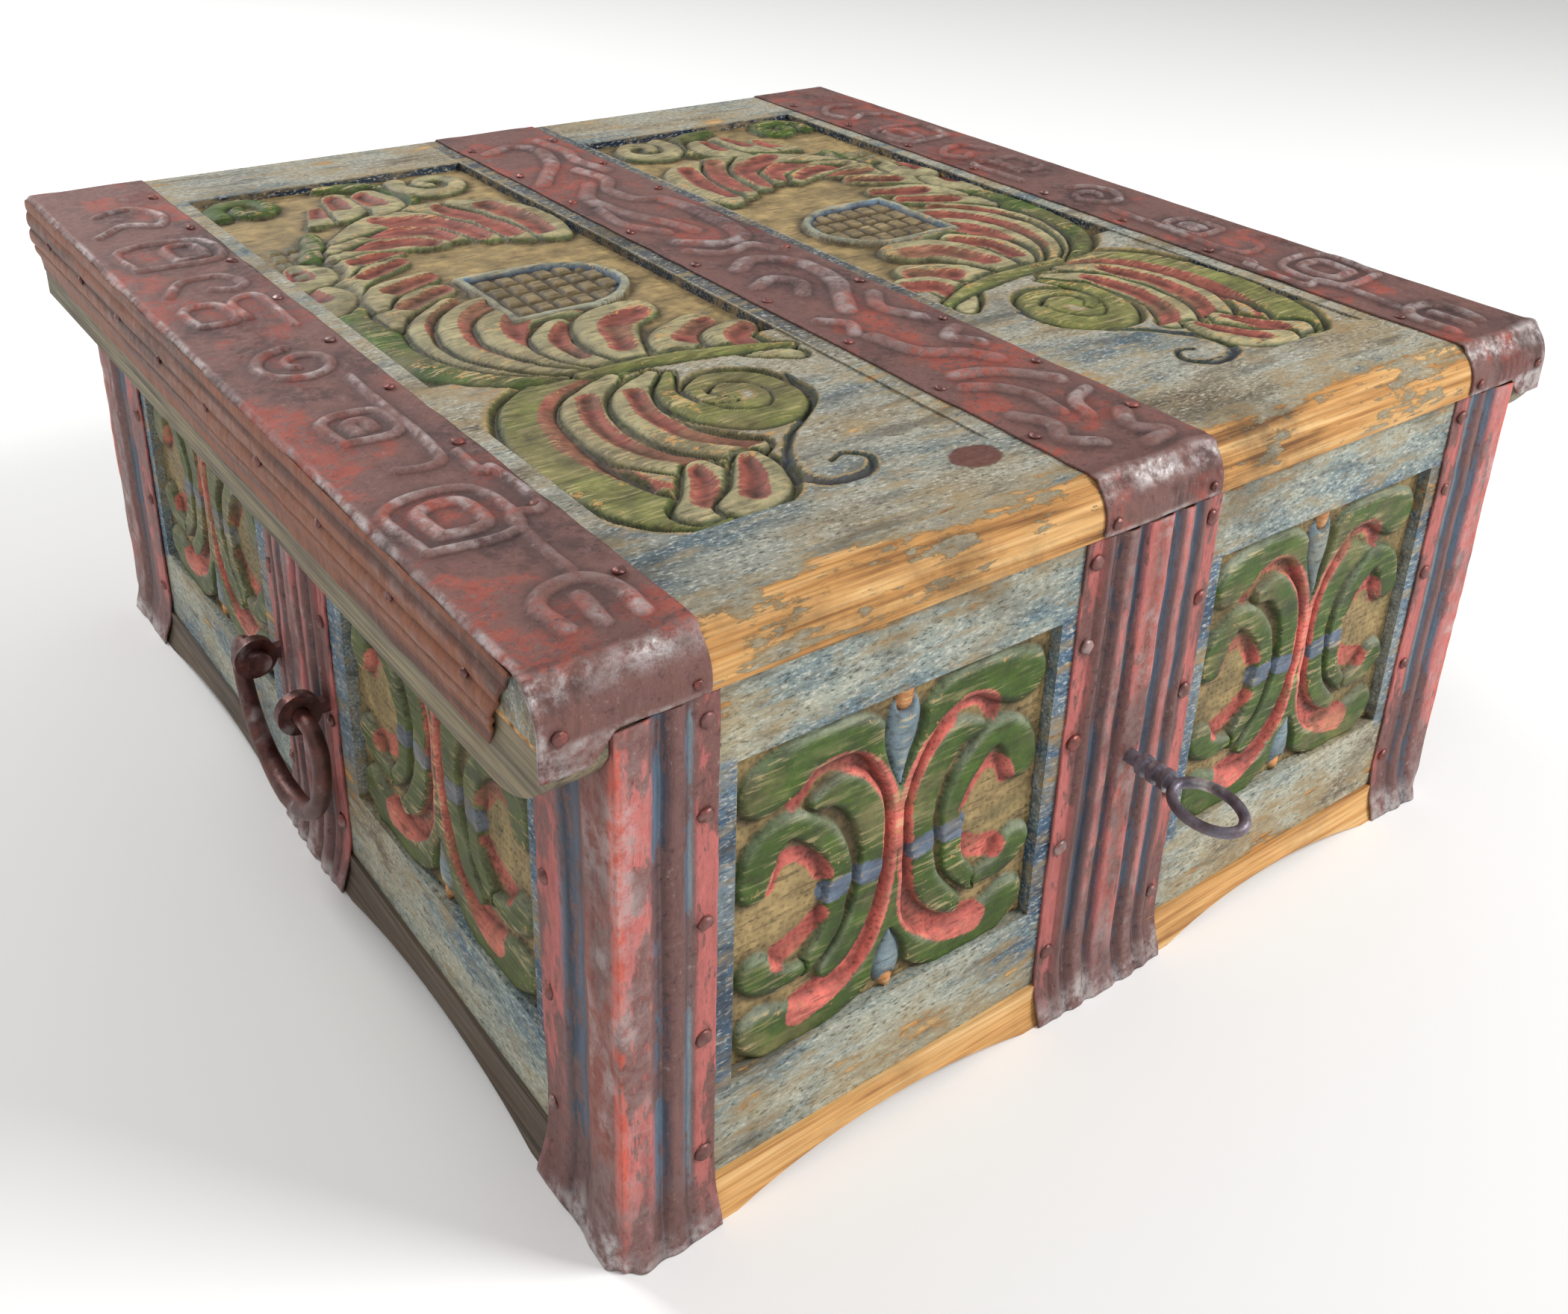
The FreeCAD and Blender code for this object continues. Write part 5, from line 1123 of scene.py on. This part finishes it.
def makeBandSide(name, side, seed):
    # reeded sheet on a batten, cut on a slant at its front end
    s = sideSheet
    skin = bandIron["sheet"]
    top = lidTop + (skin - bandIron["fold"]) * mm
    length = (backY - lidFront) / mm
    tall = (top - (lidBase - s["drop"] * mm)) / mm
    sheet = Sheet(name, int(length / s["pitchAlong"]), int(tall / s["pitchDown"]))
    down = (1 - sheet.v) * tall
    start = s["snipStart"] + s["snip"] * down / tall
    run = start + sheet.u * (length - start)
    reeds = np.zeros_like(run)
    for place, width, rise in s["reeds"]:
        reeds = np.maximum(reeds, rise * np.sqrt(np.clip(1 - ((down - place) / (width / 2)) ** 2, 0, 1)))
    dents = dented(run, down, seed, (22, 8), (0.3, 0.15))
    slope = s["slope"] * smoothStep(tall - s["drop"], tall, down)
    out = lidEnd + (skin + reeds + dents - slope - s["sink"]) * mm
    wave = 0.7 * smoothNoise(run, np.zeros_like(down), 18, seed + 2) * (sheet.v < 0.01)
    sheet.place(side * out, lidFront + run * mm, top - (down + wave) * mm)
    bandLook(sheet, reeds / 5.0, down * 4, run * 0.25, seed + 5, 0.92, 0.0, -0.12)
    sheet.finish(ironFinish, "lid", "painted_sheet_iron", (side, 0, 0), (), skin * mm)


makeBand("leftBand", "left_lid_band", -1, 501)
makeBand("rightBand", "right_lid_band", 1, 521)
makeBand("middleBand", "middle_lid_band", 0, 541)
makeBandSide("leftBandSide", -1, 561)
makeBandSide("rightBandSide", 1, 581)
print("lid bands embossed")


# forged nail heads, hammered over the nails of the solids
nailHead = {
    "radius": 3.6, "height": 1.7, "uneven": 0.4, "merge": 0.01, "headSpread": 2.0, "lidScale": 0.72,
    "segments": 9, "rings": 6,
}


def nailPlaces(node):
    # foot of each head and the way that it looks, read from the nails of a node
    bm = bmesh.new()
    bm.from_mesh(nodes[node].data)
    bmesh.ops.remove_doubles(bm, verts=bm.verts, dist=nailHead["merge"] * mm)
    seen = set()
    places = []
    for vert in bm.verts:
        if vert in seen:
            continue
        island, queue = [], [vert]
        seen.add(vert)
        while queue:
            current = queue.pop()
            island.append(current.co.copy())
            for edge in current.link_edges:
                other = edge.other_vert(current)
                if other not in seen:
                    seen.add(other)
                    queue.append(other)
        points = np.array(island)
        low, high = points.min(0), points.max(0)
        axis = int((high - low).argmax())
        middle = (low + high) / 2
        away = np.abs(np.delete(points - middle, axis, 1)).max(1)
        foot = points[away > nailHead["headSpread"] * mm][:, axis].mean()
        facing = np.zeros(3)
        facing[axis] = 1.0 if foot > middle[axis] else -1.0
        middle[axis] = foot
        places.append((Vector(middle), Vector(facing)))
    bm.free()
    return places


def makeNailHeads(name, node, body, seed, scale):
    n = nailHead
    rng = np.random.default_rng(seed)
    bm = bmesh.new()
    for place, facing in nailPlaces(node):
        radius = n["radius"] * mm * (rng.uniform(0.85, 1.15) * scale)
        upright = facing.to_track_quat("Z", "Y").to_matrix().to_4x4()
        turn = upright @ Matrix.Rotation(rng.uniform(0, 3), 4, "Z")
        shape = Matrix.Diagonal((radius, radius * rng.uniform(0.85, 1), n["height"] * mm * scale, 1))
        made = bmesh.ops.create_uvsphere(bm, u_segments=n["segments"], v_segments=n["rings"], radius=1.0,
                                         matrix=Matrix.Translation(place) @ turn @ shape)
        for vert in made["verts"]:
            vert.co += Vector(rng.uniform(-1, 1, 3)) * n["uneven"] * mm
    for face in bm.faces:
        face.smooth = True
    heads = linked(name, meshFrom(name, bm))
    heads.data.materials.append(nailIron)
    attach(heads, body)
    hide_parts(node)


# where the boards are worn bare, blue or stained; distances in mm
boardWear = {
    "insideFrom": 10.0, "insideTo": 12.0, "topEdge": 3.0, "frontTop": 12.0, "footHigh": 62.0, "footLow": 30.0,
    "lidFrontWear": 34.0, "lidEnd": 3.0, "underLid": 2.0, "borderBelow": 8.0, "borderAbove": 6.0, "soft": 0.4,
    "lidBlueFront": 40.0, "lidBlueEnd": 12.0, "besideBand": 8.5, "besideFrom": 130.0, "besideTo": 200.0,
}
stainSpot = {"x": -58.0, "y": 47.0, "halfWidth": 12.5, "halfDepth": 9.5}    # y from the lid's front


def inward(face, turn):
    # two planes inside the outer face of a wall, between which the paint gives way to bare pine
    return [face + turn * boardWear[name] * mm for name in ("insideFrom", "insideTo")]


def frontWear(tree):
    y, z = placeParts(tree)[1:]
    high = spread(tree, z, wallTop - boardWear["frontTop"] * mm, wallTop, 0, 0.05)
    low = spread(tree, z, boardWear["footHigh"] * mm, boardWear["footLow"] * mm, 0, 0.035)
    return added(tree, high, low, spread(tree, y, *inward(frontY, 1), 0, 0.5))


def topWear(tree, z):
    return spread(tree, z, wallTop - boardWear["topEdge"] * mm, wallTop, 0, 0.09)


def sideWear(tree):
    parts = placeParts(tree)
    inside = spread(tree, calc(tree, "ABSOLUTE", parts[0]), *inward(sideX, -1), 0, 0.5)
    return added(tree, inside, topWear(tree, parts[2]))


def backWear(tree):
    y, z = placeParts(tree)[1:]
    return added(tree, spread(tree, y, *inward(backY, -1), 0, 0.5), topWear(tree, z))


def blueBorders(start, end, axis, middle):
    # blue on the uprights beside the fields, and in the sunk edges
    def mask(tree):
        parts = placeParts(tree)
        soft = boardWear["soft"] * mm
        away = calc(tree, "ABSOLUTE", calc(tree, "SUBTRACT", parts[axis], middle))
        share = calc(tree, "MAXIMUM", spread(tree, away, start + soft, start - soft),
                     spread(tree, away, end - soft, end + soft))
        bottom, top = fields["bottom"] * mm, (fields["bottom"] + fields["height"]) * mm
        level = product(tree, spread(tree, parts[2], bottom - boardWear["borderBelow"] * mm, bottom - mm),
                        spread(tree, parts[2], top + boardWear["borderAbove"] * mm, top - mm))
        return product(tree, share, product(tree, level, 0.9))

    return mask


def fieldEdges(strap, iron, axis, middle, strip):
    # inner and outer edge of the fields from the middle of their wall
    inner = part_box(strap)[1][axis] - middle + strip * mm
    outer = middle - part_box(iron)[1][axis] - fields["margin"] * mm
    return inner, outer


def lidBlueAndShade(tree):
    # blue paint in the sunk edges and beside the middle band, made near-black as painted shade
    w = boardWear
    x, y, z = placeParts(tree)
    fromMiddle = calc(tree, "ABSOLUTE", x)
    end, front = lidEnd - w["lidBlueEnd"] * mm, lidFront + w["lidBlueFront"] * mm
    below = spread(tree, z, lidTop - 0.4 * mm, lidTop - 1.2 * mm)
    above = spread(tree, z, lidBase + 4 * mm, lidBase + 6 * mm)
    sunk = product(tree, below, spread(tree, fromMiddle, end + 2 * mm, end),
                   spread(tree, y, front - 2 * mm, front), above)
    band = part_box("middle_lid_band")[1].x + w["besideBand"] * mm
    beside = spread(tree, fromMiddle, band, band - mm, 0, 0.8)
    behind = spread(tree, y, lidFront + w["besideFrom"] * mm, lidFront + w["besideTo"] * mm)
    return calc(tree, "MAXIMUM", sunk, product(tree, beside, behind))


def lidWear(tree):
    w = boardWear
    x, y, z = placeParts(tree)
    front = spread(tree, y, lidFront + w["lidFrontWear"] * mm, lidFront + 2 * mm, 0, 0.142)
    ends = spread(tree, calc(tree, "ABSOLUTE", x), lidEnd - mm, lidEnd - w["lidEnd"] * mm)
    under = spread(tree, z, lidBase + w["underLid"] * mm, lidBase, 0, 0.5)
    return added(tree, product(tree, front, ends), under)


def lidStain(tree):
    # dark red spot near the front, left of the middle band
    x, y, z = placeParts(tree)
    across = product(tree, added(tree, x, -stainSpot["x"] * mm), 1 / (stainSpot["halfWidth"] * mm))
    along = calc(tree, "SUBTRACT", y, lidFront + stainSpot["y"] * mm)
    along = product(tree, along, 1 / (stainSpot["halfDepth"] * mm))
    away = added(tree, calc(tree, "POWER", across, 2.0), calc(tree, "POWER", along, 2.0),
                 noise(tree, objectPlace(tree), 190, 6, 0.7))
    onTop = spread(tree, z, lidTop - 4 * mm, lidTop - 2 * mm)
    return product(tree, onTop, spread(tree, away, 1.55, 1.25, 0, 0.85))


def dress(material, *names):
    for name in names:
        mesh = nodes[name].data
        mesh.materials.clear()
        mesh.materials.append(material)


inner, outer = fieldEdges("front_lock_strap", "front_left_corner_iron", 0, 0.0, fields["margin"])
frontBlue = blueBorders(inner, outer, 0, 0.0)
dress(wornBoard("frontDistemper", 0, frontWear, wallTones, frontBlue, wallBlues), "front_wall")
dress(wornBoard("backDistemper", 0, backWear, wallTones), "back_wall")
inner, outer = fieldEdges("left_mid_strap", "front_left_corner_iron", 1, middleY, fields["sideStrip"])
sideBlue = blueBorders(inner, outer, 1, middleY)
dress(wornBoard("sideDistemper", 1, sideWear, wallTones, sideBlue, wallBlues), "left_wall", "right_wall")
dress(wornBoard("lidDistemper", 0, lidWear, lidTones, lidBlueAndShade, lidShadedBlues, lidStain), "lid_board")
dress(bareWood("wornPine", 0, srgb(150, 98, 50), srgb(220, 166, 98), srgb(240, 200, 140), 0.45),
      "front_apron", "back_apron")
dress(bareWood("darkSkirt", 1, srgb(58, 50, 42), srgb(92, 80, 66), srgb(120, 106, 88), 0.5),
      "left_skirt", "right_skirt")
dress(bareWood("insidePine", 1, srgb(130, 84, 46), srgb(178, 128, 76), srgb(200, 152, 98), 0.4),
      "bottom_board")
dress(bareWood("battenWood", 1, srgb(78, 68, 52), srgb(128, 120, 98), srgb(164, 148, 112), 0.4),
      "left_batten", "right_batten")
darkIron = forgedIron("darkIron", srgb(92, 62, 58), srgb(128, 70, 60), 0.4)
nailIron = forgedIron("nailIron", srgb(122, 84, 80), srgb(168, 88, 78), 0.3)
keyIron = forgedIron("keyIron", srgb(120, 114, 124), srgb(110, 84, 80), 0.9)
dress(darkIron, "lock_plate", "lock_cover", "lock_bolt", "lid_staple")
for side in ("left", "right"):
    dress(darkIron, f"{side}_handle", f"{side}_handle_staples", f"{side}_hinge_body_leaf",
          f"{side}_hinge_lid_leaf", f"{side}_hinge_pin")
dress(keyIron, "key")
for index, where in enumerate(("front", "back", "left", "right", "lid", "lock")):
    body, scale = ("lid", nailHead["lidScale"]) if where == "lid" else ("chest", 1.0)
    makeNailHeads(f"{where}Nails", f"{where}_nails", body, 701 + index, scale)
print("boards and bars dressed")

# floor, light and camera
studio = {
    "floor": 6.0, "floorColour": srgb(250, 250, 249), "world": 0.42,
    "lamps": [
        ("keyLamp", (1.5, -1.8, 1.9), 1.0, 68),
        ("fillLamp", (-2.1, -0.9, 1.7), 1.8, 5),
        ("backLamp", (-0.7, 2.2, 1.9), 1.1, 46),
    ],
    "aim": (0.0, 0.0, 0.12),
}


def makeStudio():
    bm = bmesh.new()
    bmesh.ops.create_grid(bm, x_segments=1, y_segments=1, size=studio["floor"])
    floor = linked("floor", meshFrom("floor", bm))
    material, tree, shader = newMaterial("paleFloor")
    feed(tree, shader.inputs["Base Color"], studio["floorColour"])
    shader.inputs["Roughness"].default_value = 0.9
    floor.data.materials.append(material)
    for name, where, size, power in studio["lamps"]:
        lamp = bpy.data.lights.new(name, "AREA")
        lamp.size = size
        lamp.energy = power
        thing = linked(name, lamp)
        thing.location = where
        thing.rotation_euler = (Vector(studio["aim"]) - Vector(where)).to_track_quat("-Z", "Y").to_euler()
    world = bpy.data.worlds.new("studioAir")
    world.use_nodes = True
    sky = world.node_tree.nodes["Background"]
    sky.inputs["Color"].default_value = (1, 1, 1, 1)
    sky.inputs["Strength"].default_value = studio["world"]
    bpy.context.scene.world = world


view = {
    "azimuth": -38.3, "elevation": 25.53, "roll": 2.26, "lens": 36.274,
    "shiftX": -0.0142, "shiftY": -0.1339,
    "place": (-0.4471, -0.5997, 0.5246),    # metres
}


def makeCamera():
    azimuth, elevation, roll = (math.radians(view[name]) for name in ("azimuth", "elevation", "roll"))
    back = Vector((math.sin(azimuth) * math.cos(elevation), -math.cos(azimuth) * math.cos(elevation),
                   math.sin(elevation)))
    right = Vector((math.cos(azimuth), math.sin(azimuth), 0))
    up = back.cross(right)
    across = right * math.cos(roll) + up * math.sin(roll)
    upright = up * math.cos(roll) - right * math.sin(roll)
    camera = bpy.data.cameras.new("photoCamera")
    camera.lens = view["lens"]
    camera.shift_x = view["shiftX"]
    camera.shift_y = view["shiftY"]
    camera.clip_start = 0.01
    thing = linked("photoCamera", camera)
    turn = Matrix((across, upright, back)).transposed().to_4x4()
    thing.matrix_world = Matrix.Translation(view["place"]) @ turn
    bpy.context.scene.camera = thing


makeStudio()
makeCamera()
bpy.context.scene.view_settings.view_transform = "Standard"
print("studio ready")
